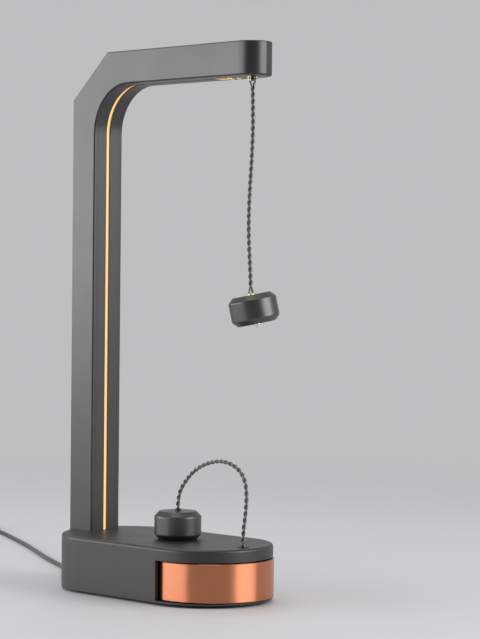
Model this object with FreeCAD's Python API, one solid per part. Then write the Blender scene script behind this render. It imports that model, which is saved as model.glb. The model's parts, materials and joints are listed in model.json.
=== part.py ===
import FreeCAD, Part
import math
import os

# Magnetic balance lamp, in millimetres. +X runs from the column to the dimmer wheel and +Z is up.
# Places along X are from the middle of the arm's reach. At the end everything moves so that the
# origin lies under the middle of the lamp with its hanging weight.

# Whole lamp
OVERALL_HEIGHT = 360.0
ARM_REACH = 170.5
FOOT_HEIGHT = 1.5

# Base housing: a stadium block with a slot for the wheel round its front end
BASE_LENGTH = 164.0
BASE_WIDTH = 87.0
BASE_TOP = 37.2
BASE_WALL = 2.6
BASE_ROOF = 3.0
BASE_TOP_ROUNDING = 2.0
BASE_RIM_BREAK = 0.5
SLOT_REACH = 2.3
SLOT_UNDERCUT = 0.05
BAND_HEIGHT = 8.3

# Parts inside and under the base
COVER_THICKNESS = 1.5
COVER_GAP = 0.15
FOOT_RADIUS = 6.0
FOOT_REACH = 10.0
FOOT_INSET = 19.5
BOSS_RADIUS = 3.5
BOSS_INSET = 7.9
REAR_BOSS_ANGLE = 48.0
FRONT_BOSS_GAP = 7.35
BALLAST_THICKNESS = 12.0
BALLAST_EDGE_GAP = 2.0
BALLAST_FRONT_GAP = 4.0
BALLAST_NOTCH_WIDTH = 24.0
BALLAST_NOTCH_DEPTH = 20.0
BALLAST_SCREW_REACH = 11.75
BALLAST_SCREW_INSET = 25.5
SCREW_GAP = 0.05

# Screws: shank radius, head radius, head height
M3_SCREW = (1.5, 2.75, 1.0)
M4_SCREW = (2.0, 3.5, 2.4)
BOARD_SCREW = (1.25, 2.25, 1.5)
BRASS_SCREW = (0.9, 1.35, 0.5)
SCREW_BITE = 9.0

# Dimmer wheel and its potentiometer
WHEEL_REACH = 4.8
WHEEL_INSET = 2.8
WHEEL_SKIN = 1.2
WHEEL_GAP_BELOW = 0.5
WHEEL_GAP_ABOVE = 0.7
WHEEL_CHAMFER = 0.4
CARRIER_WALL = 2.2
CARRIER_STEP = 1.0
CARRIER_FLOOR = 2.2
CARRIER_LIFT = 0.1
CARRIER_RIBS = 6
CARRIER_RIB_WIDTH = 1.5
CARRIER_RIB_HEIGHT = 3.2
CARRIER_HUB_RING = 6.0
CARRIER_RIM_RING = 9.5
CARRIER_WINDOW_SHARE = 0.6
HUB_RADIUS = 6.0
HUB_HEIGHT = 10.4
SHAFT_RADIUS = 3.0
SHAFT_FIT = 0.05
SHAFT_INTO_BODY = 3.0
BUSHING_RADIUS = 4.5
BUSHING_LENGTH = 5.0
POT_RADIUS = 8.0
POT_HEIGHT = 8.0

# Circuit board
BOARD_THICKNESS = 1.6
BOARD_LENGTH = 50.0
BOARD_WIDTH = 44.0
BOARD_REACH = 18.0
BOARD_DROP = 2.6
BOARD_BOSS_RADIUS = 3.0
BOARD_BOSS_INSETS = (4.0, 5.0)
BOARD_BOSS_PITCH = 18.0

# Pull switch under the hole in the base
HOLE_SETBACK = 10.25
EYELET_FLANGE_RADIUS = 4.0
EYELET_FLANGE = 0.6
EYELET_TUBE_RADIUS = 2.7
EYELET_BORE_RADIUS = 1.9
EYELET_REACH = 1.0
GUIDE_RADIUS = 5.5
GUIDE_LENGTH = 18.2
GUIDE_CEILING = 3.0
GUIDE_HOLE_RADIUS = 2.0
GUIDE_CAP = 1.95
GUIDE_LIP = 1.0
PLUNGER_RADIUS = 3.0
PLUNGER_FIT = 0.08
PLUNGER_SEAT_GAP = 0.05
PLUNGER_HEIGHT = 6.0
NECK_RADIUS = 1.7
NECK_DROP = 1.2
PULL_TRAVEL = 1.6
PULL_ARM_WIDTH = 2.6
PULL_ARM_LIFT = 0.5
PULL_ARM_HEIGHT = 2.0
PULL_ARM_REACH = 11.0
ARM_SLOT_GAP = 0.3
SPRING_RADIUS = 2.5
SPRING_WIRE_RADIUS = 0.3
SPRING_TURNS = 5
SPRING_END_GAP = 0.05
SWITCH_LENGTH = 6.4
SWITCH_WIDTH = 12.8
SWITCH_HEIGHT = 6.5
BRACKET_LENGTH = 2.0
BRACKET_WIDTH = 10.0
BRACKET_LIFT = 0.6
BUTTON_LENGTH = 1.8
BUTTON_WIDTH = 2.4
BUTTON_HEIGHT = 4.45
BUTTON_FIT = 0.08
BUTTON_TOUCH_GAP = 0.05

# Column and arm
COLUMN_WIDTH = 25.5
COLUMN_DEPTH = 22.0
BEND_RADIUS = 32.0
CHAMFER_REACH = 34.0
CHAMFER_DROP = 31.0
FRONT_EDGE_ROUNDING = 1.3
REAR_EDGE_ROUNDING = 0.8
FRAME_SIDE_WALL = 3.2
CAVITY_DEPTH = 16.0
LIGHT_CAVITY_DEPTH = 5.2
COLUMN_FOOT_HEIGHT = 24.0
ARM_SOLID_LENGTH = 34.0
INSERT_THICKNESS = 2.4
INSERT_GAP = 0.1
LIGHT_SLOT_WIDTH = 3.2
LIGHT_END_SETBACK = 32.25
LIGHT_BOTTOM_GAP = 0.2
DIFFUSER_GAP = 0.05
DIFFUSER_RECESS = 0.8
DIFFUSER_FLANGE_WIDTH = 7.0
DIFFUSER_FLANGE = 0.8
LED_WIDTH = 8.0
LED_BOARD = 1.2
LED_CHIP_HEIGHT = 0.7
LED_CHIP_SIZE = 2.8
LED_PITCH = 16.0
COLUMN_SCREW_Y = 6.4
WIRE_HOLE_RADIUS = 2.4
WIRE_HOLE_INSET = 11.65

# Hanging point under the arm
CORD_END_SETBACK = 12.25
ARM_SCREW_SETBACKS = (24.25, 30.25)
STUD_Y = 2.9
STUD_RADIUS = 1.1
STUD_DROP = 2.3
STUD_BITE = 5.0
BUSH_RADIUS = 1.5
BUSH_HEIGHT = 5.0
BUSH_SHOW = 0.1
BEAD_RADIUS = 1.4
PIVOT_DROP = 1.6
SWIVEL_GAP = 0.3

# Weights
WEIGHT_RADIUS = 15.5
WEIGHT_HEIGHT = 18.6
WEIGHT_EDGE = 3.2
POCKET_RADIUS = 12.0
POCKET_DEPTH = 13.6
CAP_THICKNESS = 3.6
CAP_GAP = 0.05
FERRULE_RADIUS = 1.9
FERRULE_HEIGHT = 1.5
COLLAR_RADIUS = 2.4
COLLAR_HEIGHT = 0.5
BALL_RADIUS = 1.6
DOME_SCREW_RADIUS = 1.9
DOME_SCREW_HEIGHT = 0.75
DOME_SCREW_SHANK = 0.9
HANGING_TILT = 12.0
HANGING_TILT_AXIS = (0.703, -0.711, 0.0)

# Hanging cord, as (forward, below the hanging pivot)
CORD_RADIUS = 1.3
ARC_SHARE = 0.45
HANGING_ROUTE = ((1.0, -24.4), (0.4, -46.4), (-1.8, -74.4), (-2.3, -98.4), (-0.4, -120.4))
HANGING_END = (0.5, -135.7)

# Cord from the pull switch over to the lower weight, as (forward of the hole, above the base)
LOWER_ROUTE = (
    (0.0, 8.8), (2.2, 20.8), (3.2, 33.8), (1.1, 44.4), (-6.7, 51.4), (-19.0, 54.4),
    (-32.5, 52.2), (-44.3, 47.0), (-53.7, 38.8), (-60.3, 29.2),
)
LOWER_WEIGHT_OFFSET = -60.3
LEAD_LAST_RUN = 2
STRETCH_LAST_RUNS = (4, 7)
STRETCH_TURNS = (56.0, 50.0, 74.0)
STRETCH_SHORTENING = 0.90

# Power lead: strain relief, route behind the lamp, stored coil and plug
LEAD_RADIUS = 1.5
LEAD_HEIGHT = 8.5
RELIEF_LENGTH = 18.0
RELIEF_ROOT_RADIUS = 3.6
RELIEF_TIP_RADIUS = 2.1
RELIEF_NECK_RADIUS = 3.2
RELIEF_FLANGE_RADIUS = 4.6
RELIEF_FLANGE = 1.5
# Points as (forward of the strain relief's tip, to the left, above the table)
LEAD_ROUTE = (
    (-9.0, 0.0, 8.5), (-18.2, 3.6, 6.7), (-26.8, 11.8, 3.8), (-34.3, 21.9, 2.0),
    (-42.3, 31.2, 1.5), (-53.2, 39.4, 1.5), (-69.4, 47.9, 1.5), (-96.0, 62.3, 1.5),
    (-146.0, 91.4, 1.5), (-193.2, 116.6, 1.5), (-245.7, 143.0, 1.5), (-281.6, 160.3, 1.5),
)
COIL_HALF_TURNS = 7
COIL_INNER_RADIUS = 11.0
COIL_PITCH = 3.45
TAIL_ROUTE = ((9.0, 0.0, 0.0), (19.0, -1.4, -0.6), (30.0, -1.8, -0.95))
TAIL_END = (39.0, -1.0, -0.95)
PLUG_RELIEF_LENGTH = 10.0
PLUG_LENGTH = 24.0
PLUG_WIDTH = 15.5
PLUG_THICKNESS = 8.0
PLUG_ROUNDING = 2.0
SHELL_LENGTH = 12.0
SHELL_WIDTH = 12.0
SHELL_THICKNESS = 4.5
SHELL_WALL = 0.4
TONGUE_THICKNESS = 1.8

# Places along the base and across it
REAR_X = -ARM_REACH / 2
TIP_X = ARM_REACH / 2
BASE_RADIUS = BASE_WIDTH / 2
BASE_REAR_CENTRE = REAR_X + BASE_RADIUS
BASE_FRONT_CENTRE = REAR_X + BASE_LENGTH - BASE_RADIUS
INNER_RADIUS = BASE_RADIUS - BASE_WALL
SLOT_REAR_X = BASE_FRONT_CENTRE - SLOT_REACH
WHEEL_X = BASE_FRONT_CENTRE + WHEEL_REACH
WHEEL_RADIUS = BASE_RADIUS - WHEEL_INSET
CARRIER_RADIUS = WHEEL_RADIUS - WHEEL_SKIN
HOLE_X = REAR_X + BASE_LENGTH - HOLE_SETBACK
BRACKET_REAR = HOLE_X - GUIDE_RADIUS - BRACKET_LENGTH
FOOT_Y = BASE_RADIUS - FOOT_INSET
BOSS_RING = INNER_RADIUS - BOSS_INSET
FRONT_BOSS_X = WHEEL_X - WHEEL_RADIUS - FRONT_BOSS_GAP
REAR_BOSS_X = BASE_REAR_CENTRE - BOSS_RING * math.cos(math.radians(REAR_BOSS_ANGLE))
REAR_BOSS_Y = BOSS_RING * math.sin(math.radians(REAR_BOSS_ANGLE))
BALLAST_SCREW_X = BASE_REAR_CENTRE + BALLAST_SCREW_REACH
BALLAST_SCREW_Y = BASE_RADIUS - BALLAST_SCREW_INSET
BOARD_FRONT_X = WHEEL_X + BOARD_REACH
BOARD_REAR_X = BOARD_FRONT_X - BOARD_LENGTH

# Heights in the base
ROOF_BOTTOM = BASE_TOP - BASE_ROOF
COVER_TOP = FOOT_HEIGHT + COVER_THICKNESS
SLOT_BOTTOM = COVER_TOP - SLOT_UNDERCUT
SLOT_TOP = BASE_TOP - BAND_HEIGHT
WHEEL_BOTTOM = COVER_TOP + WHEEL_GAP_BELOW
WHEEL_TOP = SLOT_TOP - WHEEL_GAP_ABOVE
CARRIER_BOTTOM = WHEEL_BOTTOM + CARRIER_LIFT
CARRIER_FLOOR_TOP = CARRIER_BOTTOM + CARRIER_FLOOR
HUB_TOP = CARRIER_BOTTOM + HUB_HEIGHT
BOARD_TOP = ROOF_BOTTOM - BOARD_DROP
BOARD_BOTTOM = BOARD_TOP - BOARD_THICKNESS
GUIDE_BOTTOM = ROOF_BOTTOM - GUIDE_LENGTH
GUIDE_CEILING_BOTTOM = ROOF_BOTTOM - GUIDE_CEILING
GUIDE_CAP_TOP = GUIDE_BOTTOM + GUIDE_CAP
PLUNGER_BOTTOM = GUIDE_CAP_TOP + PLUNGER_SEAT_GAP
PLUNGER_TOP = PLUNGER_BOTTOM + PLUNGER_HEIGHT
NECK_TOP = GUIDE_CEILING_BOTTOM - NECK_DROP
PULL_ARM_BOTTOM = PLUNGER_BOTTOM + PULL_ARM_LIFT
PULL_ARM_TOP = PULL_ARM_BOTTOM + PULL_ARM_HEIGHT
SWITCH_BOTTOM = PULL_ARM_TOP + PULL_TRAVEL + ARM_SLOT_GAP
BRACKET_BOTTOM = SWITCH_BOTTOM + BRACKET_LIFT

# Places on the column and arm
COLUMN_FRONT = REAR_X + COLUMN_DEPTH
ARM_UNDERSIDE = OVERALL_HEIGHT - COLUMN_DEPTH
HALF_WIDTH = COLUMN_WIDTH / 2
CAVITY_HALF_WIDTH = HALF_WIDTH - FRAME_SIDE_WALL
ARM_END_CENTRE = TIP_X - HALF_WIDTH
WIRE_HOLE_X = REAR_X + WIRE_HOLE_INSET
CORD_X = TIP_X - CORD_END_SETBACK
PIVOT_Z = ARM_UNDERSIDE - PIVOT_DROP
WEIGHT_TOP = BASE_TOP + WEIGHT_HEIGHT
UP = FreeCAD.Vector(0, 0, 1)

# Cuts run this far past a face, and sizes this close count as the same
CUT = 1.0
SAME = 1e-3


def vec(x, y, z):
    return FreeCAD.Vector(x, y, z)


def rod(radius, bottom, top, x=0.0, y=0.0):
    """An upright cylinder between two heights."""
    return Part.makeCylinder(radius, top - bottom, vec(x, y, bottom))


def block(x0, x1, y0, y1, z0, z1):
    return Part.makeBox(x1 - x0, y1 - y0, z1 - z0, vec(x0, y0, z0))


def join(shapes):
    """One solid from shapes that overlap."""
    whole = shapes[0].multiFuse(shapes[1:])
    return whole.removeSplitter()


def together(shapes):
    """Loose solids that share one node, such as a set of equal screws."""
    return Part.makeCompound(shapes)


def both_sides(x, y):
    return ((x, y), (x, -y))


def stadium(radius, rear_x, front_x, bottom, top):
    """A block with two straight sides and two half-round ends, seen from above."""
    edges = [
        Part.LineSegment(vec(rear_x, -radius, bottom), vec(front_x, -radius, bottom)),
        Part.Arc(
            vec(front_x, -radius, bottom), vec(front_x + radius, 0, bottom), vec(front_x, radius, bottom)
        ),
        Part.LineSegment(vec(front_x, radius, bottom), vec(rear_x, radius, bottom)),
        Part.Arc(
            vec(rear_x, radius, bottom), vec(rear_x - radius, 0, bottom), vec(rear_x, -radius, bottom)
        ),
    ]
    outline = Part.Wire([edge.toShape() for edge in edges])
    return Part.Face(outline).extrude(vec(0, 0, top - bottom))


def revolved(points, axis_x=0.0, axis_y=0.0):
    """A solid turned about an upright axis from (radius, height) corners."""
    corners = [vec(axis_x + radius, axis_y, height) for radius, height in points]
    outline = Part.makePolygon(corners + corners[:1])
    return Part.Face(outline).revolve(vec(axis_x, axis_y, 0), UP, 360)


def soften(solid, radius, wanted):
    """Rounds the edges that wanted() picks."""
    edges = [edge for edge in solid.Edges if wanted(edge)]
    return solid.makeFillet(radius, edges)


def flat_at(edge, height):
    box = edge.BoundBox
    return abs(box.ZMin - height) < SAME and abs(box.ZMax - height) < SAME


def screw(kind, x, y, seat, bite):
    """A plain screw whose head sits under the height seat and whose shank goes up from there."""
    shank_radius, head_radius, head_height = kind
    bottom = seat - head_height
    head = rod(head_radius, bottom, seat, x, y)
    shank = rod(shank_radius, seat, seat + bite, x, y)
    recess = rod(head_radius / 2, bottom, bottom + head_height / 2, x, y)
    return join([head, shank]).cut(recess)


def screw_hole(kind, x, y, bottom, top):
    return rod(kind[0] + SCREW_GAP, bottom, top, x, y)


def cover_bosses():
    return [*both_sides(REAR_BOSS_X, REAR_BOSS_Y), *both_sides(FRONT_BOSS_X, BOSS_RING)]


def ballast_screw_places():
    return both_sides(BALLAST_SCREW_X, BALLAST_SCREW_Y)


def board_bosses():
    """Two bosses at the board's rear corners and one further forward on its left side."""
    x_inset, y_inset = BOARD_BOSS_INSETS
    x = BOARD_REAR_X + x_inset
    y = BOARD_WIDTH / 2 - y_inset
    return [*both_sides(x, y), (x + BOARD_BOSS_PITCH, y)]


def column_screw_places():
    return both_sides(WIRE_HOLE_X, COLUMN_SCREW_Y)


def base_housing():
    """The shell: stadium block, rear pad under the column, slot for the wheel, and bosses inside."""
    outer = stadium(BASE_RADIUS, BASE_REAR_CENTRE, BASE_FRONT_CENTRE, FOOT_HEIGHT, BASE_TOP)
    outer = soften(outer, BASE_TOP_ROUNDING, lambda edge: flat_at(edge, BASE_TOP))
    outer = soften(outer, BASE_RIM_BREAK, lambda edge: flat_at(edge, FOOT_HEIGHT))
    pad = block(REAR_X, BASE_REAR_CENTRE, -HALF_WIDTH, HALF_WIDTH, FOOT_HEIGHT, BASE_TOP)
    shell = join([outer, pad])
    shell = shell.cut(stadium(INNER_RADIUS, BASE_REAR_CENTRE, BASE_FRONT_CENTRE, 0, ROOF_BOTTOM))
    shell = shell.cut(block(SLOT_REAR_X, BASE_LENGTH, -BASE_WIDTH, BASE_WIDTH, SLOT_BOTTOM, SLOT_TOP))
    inside = [rod(BOSS_RADIUS, COVER_TOP, ROOF_BOTTOM + CUT, x, y) for x, y in cover_bosses()]
    inside += [
        rod(BOARD_BOSS_RADIUS, BOARD_TOP, ROOF_BOTTOM + CUT, x, y) for x, y in board_bosses()
    ]
    inside += [
        rod(BOSS_RADIUS, COVER_TOP + BALLAST_THICKNESS, ROOF_BOTTOM + CUT, x, y)
        for x, y in ballast_screw_places()
    ]
    shell = join([shell] + inside)
    holes = [screw_hole(M3_SCREW, x, y, 0, COVER_TOP + SCREW_BITE) for x, y in cover_bosses()]
    holes += [screw_hole(BOARD_SCREW, x, y, BOARD_TOP - CUT, ROOF_BOTTOM) for x, y in board_bosses()]
    holes += [
        screw_hole(M3_SCREW, x, y, COVER_TOP, COVER_TOP + BALLAST_THICKNESS + SCREW_BITE)
        for x, y in ballast_screw_places()
    ]
    holes += [screw_hole(M4_SCREW, x, y, 0, OVERALL_HEIGHT) for x, y in column_screw_places()]
    holes.append(rod(WIRE_HOLE_RADIUS, ROOF_BOTTOM - CUT, BASE_TOP + CUT, WIRE_HOLE_X))
    holes.append(rod(EYELET_TUBE_RADIUS, ROOF_BOTTOM - CUT, BASE_TOP + CUT, HOLE_X))
    holes.append(
        Part.makeCylinder(
            RELIEF_NECK_RADIUS, BASE_RADIUS, vec(REAR_X - CUT, 0, LEAD_HEIGHT), vec(1, 0, 0)
        )
    )
    return shell.cut(together(holes))


def bottom_cover():
    """The plate let into the open underside."""
    radius = INNER_RADIUS - COVER_GAP
    plate = stadium(radius, BASE_REAR_CENTRE, BASE_FRONT_CENTRE, FOOT_HEIGHT, COVER_TOP)
    holes = []
    for x, y in cover_bosses():
        holes.append(screw_hole(M3_SCREW, x, y, 0, COVER_TOP + CUT))
        holes.append(rod(M3_SCREW[1] + SCREW_GAP, 0, FOOT_HEIGHT + M3_SCREW[2], x, y))
    return plate.cut(together(holes))


def cover_screws():
    seat = FOOT_HEIGHT + M3_SCREW[2]
    return together([screw(M3_SCREW, x, y, seat, SCREW_BITE) for x, y in cover_bosses()])


def rubber_feet():
    rear_x = BASE_REAR_CENTRE - FOOT_REACH
    front_x = BASE_FRONT_CENTRE + FOOT_REACH
    places = [*both_sides(rear_x, FOOT_Y), *both_sides(front_x, FOOT_Y)]
    return together([rod(FOOT_RADIUS, 0, FOOT_HEIGHT, x, y) for x, y in places])


def ballast_plate():
    """Steel slab in the rear half, cut back round the wheel, the bosses and the lead's way in."""
    radius = INNER_RADIUS - BALLAST_EDGE_GAP
    top = COVER_TOP + BALLAST_THICKNESS
    slab = stadium(radius, BASE_REAR_CENTRE, BASE_FRONT_CENTRE, COVER_TOP, top)
    holes = [rod(WHEEL_RADIUS + BALLAST_FRONT_GAP, 0, BASE_TOP, WHEEL_X)]
    holes.append(block(WHEEL_X - WHEEL_RADIUS, BASE_LENGTH, -BASE_WIDTH, BASE_WIDTH, 0, BASE_TOP))
    for x, y in cover_bosses():
        holes.append(rod(BOSS_RADIUS + BALLAST_EDGE_GAP, 0, BASE_TOP, x, y))
    notch_end = REAR_X + BASE_WALL + BALLAST_NOTCH_DEPTH
    half_notch = BALLAST_NOTCH_WIDTH / 2
    holes.append(block(REAR_X, notch_end, -half_notch, half_notch, 0, BASE_TOP))
    for x, y in ballast_screw_places():
        holes.append(screw_hole(M3_SCREW, x, y, 0, BASE_TOP))
        holes.append(rod(M3_SCREW[1] + SCREW_GAP, 0, COVER_TOP + M3_SCREW[2], x, y))
    return slab.cut(together(holes))


def ballast_screws():
    seat = COVER_TOP + M3_SCREW[2]
    bite = BALLAST_THICKNESS + SCREW_BITE - M3_SCREW[2]
    return together([screw(M3_SCREW, x, y, seat, bite) for x, y in ballast_screw_places()])


def dimmer_ring():
    """The copper band that shows in the slot, with a small chamfer at each edge."""
    inner = CARRIER_RADIUS
    outline = (
        (inner, WHEEL_BOTTOM), (WHEEL_RADIUS - WHEEL_CHAMFER, WHEEL_BOTTOM),
        (WHEEL_RADIUS, WHEEL_BOTTOM + WHEEL_CHAMFER), (WHEEL_RADIUS, WHEEL_TOP - WHEEL_CHAMFER),
        (WHEEL_RADIUS - WHEEL_CHAMFER, WHEEL_TOP), (inner, WHEEL_TOP),
    )
    return revolved(outline, WHEEL_X)


def carrier_window(number):
    """One opening between two spokes of the wheel's floor."""
    share = 360.0 / CARRIER_RIBS
    sweep = share * CARRIER_WINDOW_SHARE
    bottom = CARRIER_BOTTOM - CUT
    height = CARRIER_FLOOR + 2 * CUT
    middle = vec(WHEEL_X, 0, bottom)
    outer = CARRIER_RADIUS - CARRIER_RIM_RING
    inner = HUB_RADIUS + CARRIER_HUB_RING
    sector = Part.makeCylinder(outer, height, middle, UP, sweep)
    sector = sector.cut(Part.makeCylinder(inner, height, middle))
    sector.rotate(vec(WHEEL_X, 0, 0), UP, number * share + (share - sweep) / 2)
    return sector


def dimmer_carrier():
    """Plastic cup inside the ring: wall, spoked floor, ribs and a hub for the shaft."""
    top = WHEEL_TOP - CARRIER_STEP
    floor_top = CARRIER_FLOOR_TOP
    cup = rod(CARRIER_RADIUS, CARRIER_BOTTOM, top, WHEEL_X)
    cup = cup.cut(rod(CARRIER_RADIUS - CARRIER_WALL, floor_top, top + CUT, WHEEL_X))
    ribs = []
    for number in range(CARRIER_RIBS):
        rib = block(
            WHEEL_X, WHEEL_X + CARRIER_RADIUS - CARRIER_WALL / 2,
            -CARRIER_RIB_WIDTH / 2, CARRIER_RIB_WIDTH / 2,
            floor_top - CUT, floor_top + CARRIER_RIB_HEIGHT,
        )
        rib.rotate(vec(WHEEL_X, 0, 0), UP, number * 360.0 / CARRIER_RIBS)
        ribs.append(rib)
    cup = join([cup, rod(HUB_RADIUS, CARRIER_BOTTOM, HUB_TOP, WHEEL_X)] + ribs)
    windows = [carrier_window(number) for number in range(CARRIER_RIBS)]
    return cup.cut(together(windows + [rod(SHAFT_RADIUS, floor_top, HUB_TOP + CUT, WHEEL_X)]))


def shaft_top():
    return BOARD_BOTTOM - POT_HEIGHT + SHAFT_INTO_BODY


def potentiometer_shaft():
    return rod(SHAFT_RADIUS, CARRIER_FLOOR_TOP, shaft_top(), WHEEL_X)


def dimmer_potentiometer():
    """Round body under the circuit board with a threaded bushing that points down at the wheel."""
    body_bottom = BOARD_BOTTOM - POT_HEIGHT
    body = rod(POT_RADIUS, body_bottom, BOARD_BOTTOM, WHEEL_X)
    bushing = rod(BUSHING_RADIUS, body_bottom - BUSHING_LENGTH, body_bottom + CUT, WHEEL_X)
    bore = rod(SHAFT_RADIUS + SHAFT_FIT, 0, shaft_top() + SHAFT_FIT, WHEEL_X)
    return join([body, bushing]).cut(bore)


def control_board():
    half = BOARD_WIDTH / 2
    board = block(BOARD_REAR_X, BOARD_FRONT_X, -half, half, BOARD_BOTTOM, BOARD_TOP)
    holes = [screw_hole(BOARD_SCREW, x, y, BOARD_BOTTOM - CUT, BOARD_TOP + CUT) for x, y in board_bosses()]
    return board.cut(together(holes))


def board_screws():
    bite = ROOF_BOTTOM - BOARD_BOTTOM
    return together([screw(BOARD_SCREW, x, y, BOARD_BOTTOM, bite) for x, y in board_bosses()])


def cord_eyelet():
    """Pale metal eyelet in the roof where the lower cord comes out."""
    flange = rod(EYELET_FLANGE_RADIUS, BASE_TOP, BASE_TOP + EYELET_FLANGE, HOLE_X)
    rim = [edge for edge in flange.Edges if flat_at(edge, BASE_TOP + EYELET_FLANGE)]
    flange = flange.makeFillet(EYELET_FLANGE / 2, rim)
    tail = rod(EYELET_TUBE_RADIUS, ROOF_BOTTOM - EYELET_REACH, BASE_TOP + EYELET_FLANGE / 2, HOLE_X)
    bore = rod(EYELET_BORE_RADIUS, 0, OVERALL_HEIGHT, HOLE_X)
    return join([flange, tail]).cut(bore)


def pull_switch_guide():
    """Barrel under the roof that the plunger slides in, with a bracket for the switch on one side."""
    barrel = rod(GUIDE_RADIUS, GUIDE_BOTTOM, ROOF_BOTTOM, HOLE_X)
    half = BRACKET_WIDTH / 2
    bracket = block(BRACKET_REAR, HOLE_X, -half, half, BRACKET_BOTTOM, ROOF_BOTTOM)
    bore_radius = PLUNGER_RADIUS + PLUNGER_FIT
    holes = [rod(bore_radius, 0, GUIDE_CEILING_BOTTOM, HOLE_X)]
    holes.append(rod(GUIDE_HOLE_RADIUS, 0, BASE_TOP, HOLE_X))
    holes.append(rod(EYELET_TUBE_RADIUS, ROOF_BOTTOM - EYELET_REACH, BASE_TOP, HOLE_X))
    slot_half = PULL_ARM_WIDTH / 2 + ARM_SLOT_GAP
    slot_top = PULL_ARM_TOP + PULL_TRAVEL + 2 * ARM_SLOT_GAP
    slot_rear = HOLE_X - GUIDE_RADIUS - CUT
    holes.append(block(slot_rear, HOLE_X, -slot_half, slot_half, 0, slot_top))
    return join([barrel, bracket]).cut(together(holes))


def guide_cap():
    """Plug in the barrel's lower end that the plunger rests on."""
    plug = rod(PLUNGER_RADIUS + PLUNGER_FIT, GUIDE_BOTTOM, GUIDE_CAP_TOP, HOLE_X)
    lip = rod(GUIDE_RADIUS, GUIDE_BOTTOM - GUIDE_LIP, GUIDE_BOTTOM, HOLE_X)
    return join([plug, lip])


def pull_plunger():
    """Slider with a neck for the cord and an arm that reaches under the switch."""
    body = rod(PLUNGER_RADIUS, PLUNGER_BOTTOM, PLUNGER_TOP, HOLE_X)
    neck = rod(NECK_RADIUS, PLUNGER_TOP - CUT, NECK_TOP, HOLE_X)
    half = PULL_ARM_WIDTH / 2
    arm = block(HOLE_X - PULL_ARM_REACH, HOLE_X, -half, half, PULL_ARM_BOTTOM, PULL_ARM_TOP)
    return join([body, neck, arm])


def microswitch_body():
    """Sealed switch on the guide's bracket, with a pocket for its button."""
    front = BRACKET_REAR
    half = SWITCH_WIDTH / 2
    top = SWITCH_BOTTOM + SWITCH_HEIGHT
    body = block(front - SWITCH_LENGTH, front, -half, half, SWITCH_BOTTOM, top)
    x = button_x()
    half_length = BUTTON_LENGTH / 2 + BUTTON_FIT
    half_width = BUTTON_WIDTH / 2 + BUTTON_FIT
    pocket_top = button_bottom() + BUTTON_HEIGHT + PULL_TRAVEL + ARM_SLOT_GAP
    pocket = block(x - half_length, x + half_length, -half_width, half_width, 0, pocket_top)
    return body.cut(pocket)


def button_x():
    return BRACKET_REAR - SWITCH_LENGTH / 2


def button_bottom():
    return PULL_ARM_TOP + BUTTON_TOUCH_GAP


def microswitch_button():
    x = button_x()
    half = BUTTON_WIDTH / 2
    bottom = button_bottom()
    return block(x - BUTTON_LENGTH / 2, x + BUTTON_LENGTH / 2, -half, half, bottom, bottom + BUTTON_HEIGHT)


def quarter_arc(start, tangent, end):
    """The arc from start to end that leaves start along tangent, which is square to the chord's half."""
    chord = end - start
    side = chord - tangent * chord.dot(tangent)
    radius = chord.dot(chord) / (2 * side.Length)
    centre = start + side * (radius / side.Length)
    middle = (start + end) * 0.5 - centre
    middle.normalize()
    return Part.Arc(start, centre + middle * radius, end).toShape()


def half_turn(start, tangent, end):
    """Two quarter arcs from start round to end, level or climbing. Both ends run along tangent."""
    reach = tangent * ((end - start).Length / 2)
    joint = (start + reach + end + reach) * 0.5
    first = quarter_arc(start, tangent, joint)
    onward = end - start
    onward.normalize()
    return [first, quarter_arc(joint, onward, end)]


def swept(path, radius):
    """A round tube along a path of edges that follow on smoothly."""
    start = path[0].valueAt(path[0].FirstParameter)
    way = path[0].tangentAt(path[0].FirstParameter)
    section = Part.Wire([Part.makeCircle(radius, start, way)])
    shell = Part.Wire(path).makePipeShell([section], True, False)
    return Part.Solid(shell) if shell.ShapeType == "Shell" else shell


def least_gap(path, radius, turn_length):
    """The least distance between a tube's own turns, measured on points along its centre line."""
    points = Part.Wire(path).discretize(Distance=radius)
    skip = max(2, int(turn_length / 2 / radius))
    least = min(
        (here - there).Length
        for place, here in enumerate(points)
        for there in points[place + skip:]
    )
    return least - 2 * radius


def pull_spring():
    """Coil spring between the plunger and the guide's ceiling, with a climb in every half turn."""
    bottom = PLUNGER_TOP + SPRING_END_GAP + SPRING_WIRE_RADIUS
    top = GUIDE_CEILING_BOTTOM - SPRING_END_GAP - SPRING_WIRE_RADIUS
    rise = (top - bottom) / (2 * SPRING_TURNS)
    path = []
    here = vec(HOLE_X + SPRING_RADIUS, 0, bottom)
    way = vec(0, 1, 0)
    for number in range(2 * SPRING_TURNS):
        side = -1 if number % 2 == 0 else 1
        there = vec(HOLE_X + side * SPRING_RADIUS, 0, bottom + rise * (number + 1))
        path += half_turn(here, way, there)
        here = there
        way = way * -1
    print("spring gap", round(least_gap(path, SPRING_WIRE_RADIUS, 2 * math.pi * SPRING_RADIUS), 2))
    return swept(path, SPRING_WIRE_RADIUS)


def inner_line(offset):
    """Corners and arc of the line that lies offset behind the column's front and the arm's underside."""
    bend_x = COLUMN_FRONT + BEND_RADIUS
    bend_z = ARM_UNDERSIDE - BEND_RADIUS
    radius = BEND_RADIUS + offset
    lean = radius * math.sqrt(0.5)
    low = vec(COLUMN_FRONT - offset, 0, bend_z)
    middle = vec(bend_x - lean, 0, bend_z + lean)
    high = vec(bend_x, 0, ARM_UNDERSIDE + offset)
    return low, middle, high


def plan_limit(front_x, half_width, round_end):
    """A tall block that stops at front_x, or goes on from there as a half round."""
    limit = block(REAR_X - CUT, front_x, -half_width, half_width, 0, OVERALL_HEIGHT + CUT)
    if round_end:
        limit = join([limit, rod(half_width, 0, OVERALL_HEIGHT + CUT, front_x)])
    return limit


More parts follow.
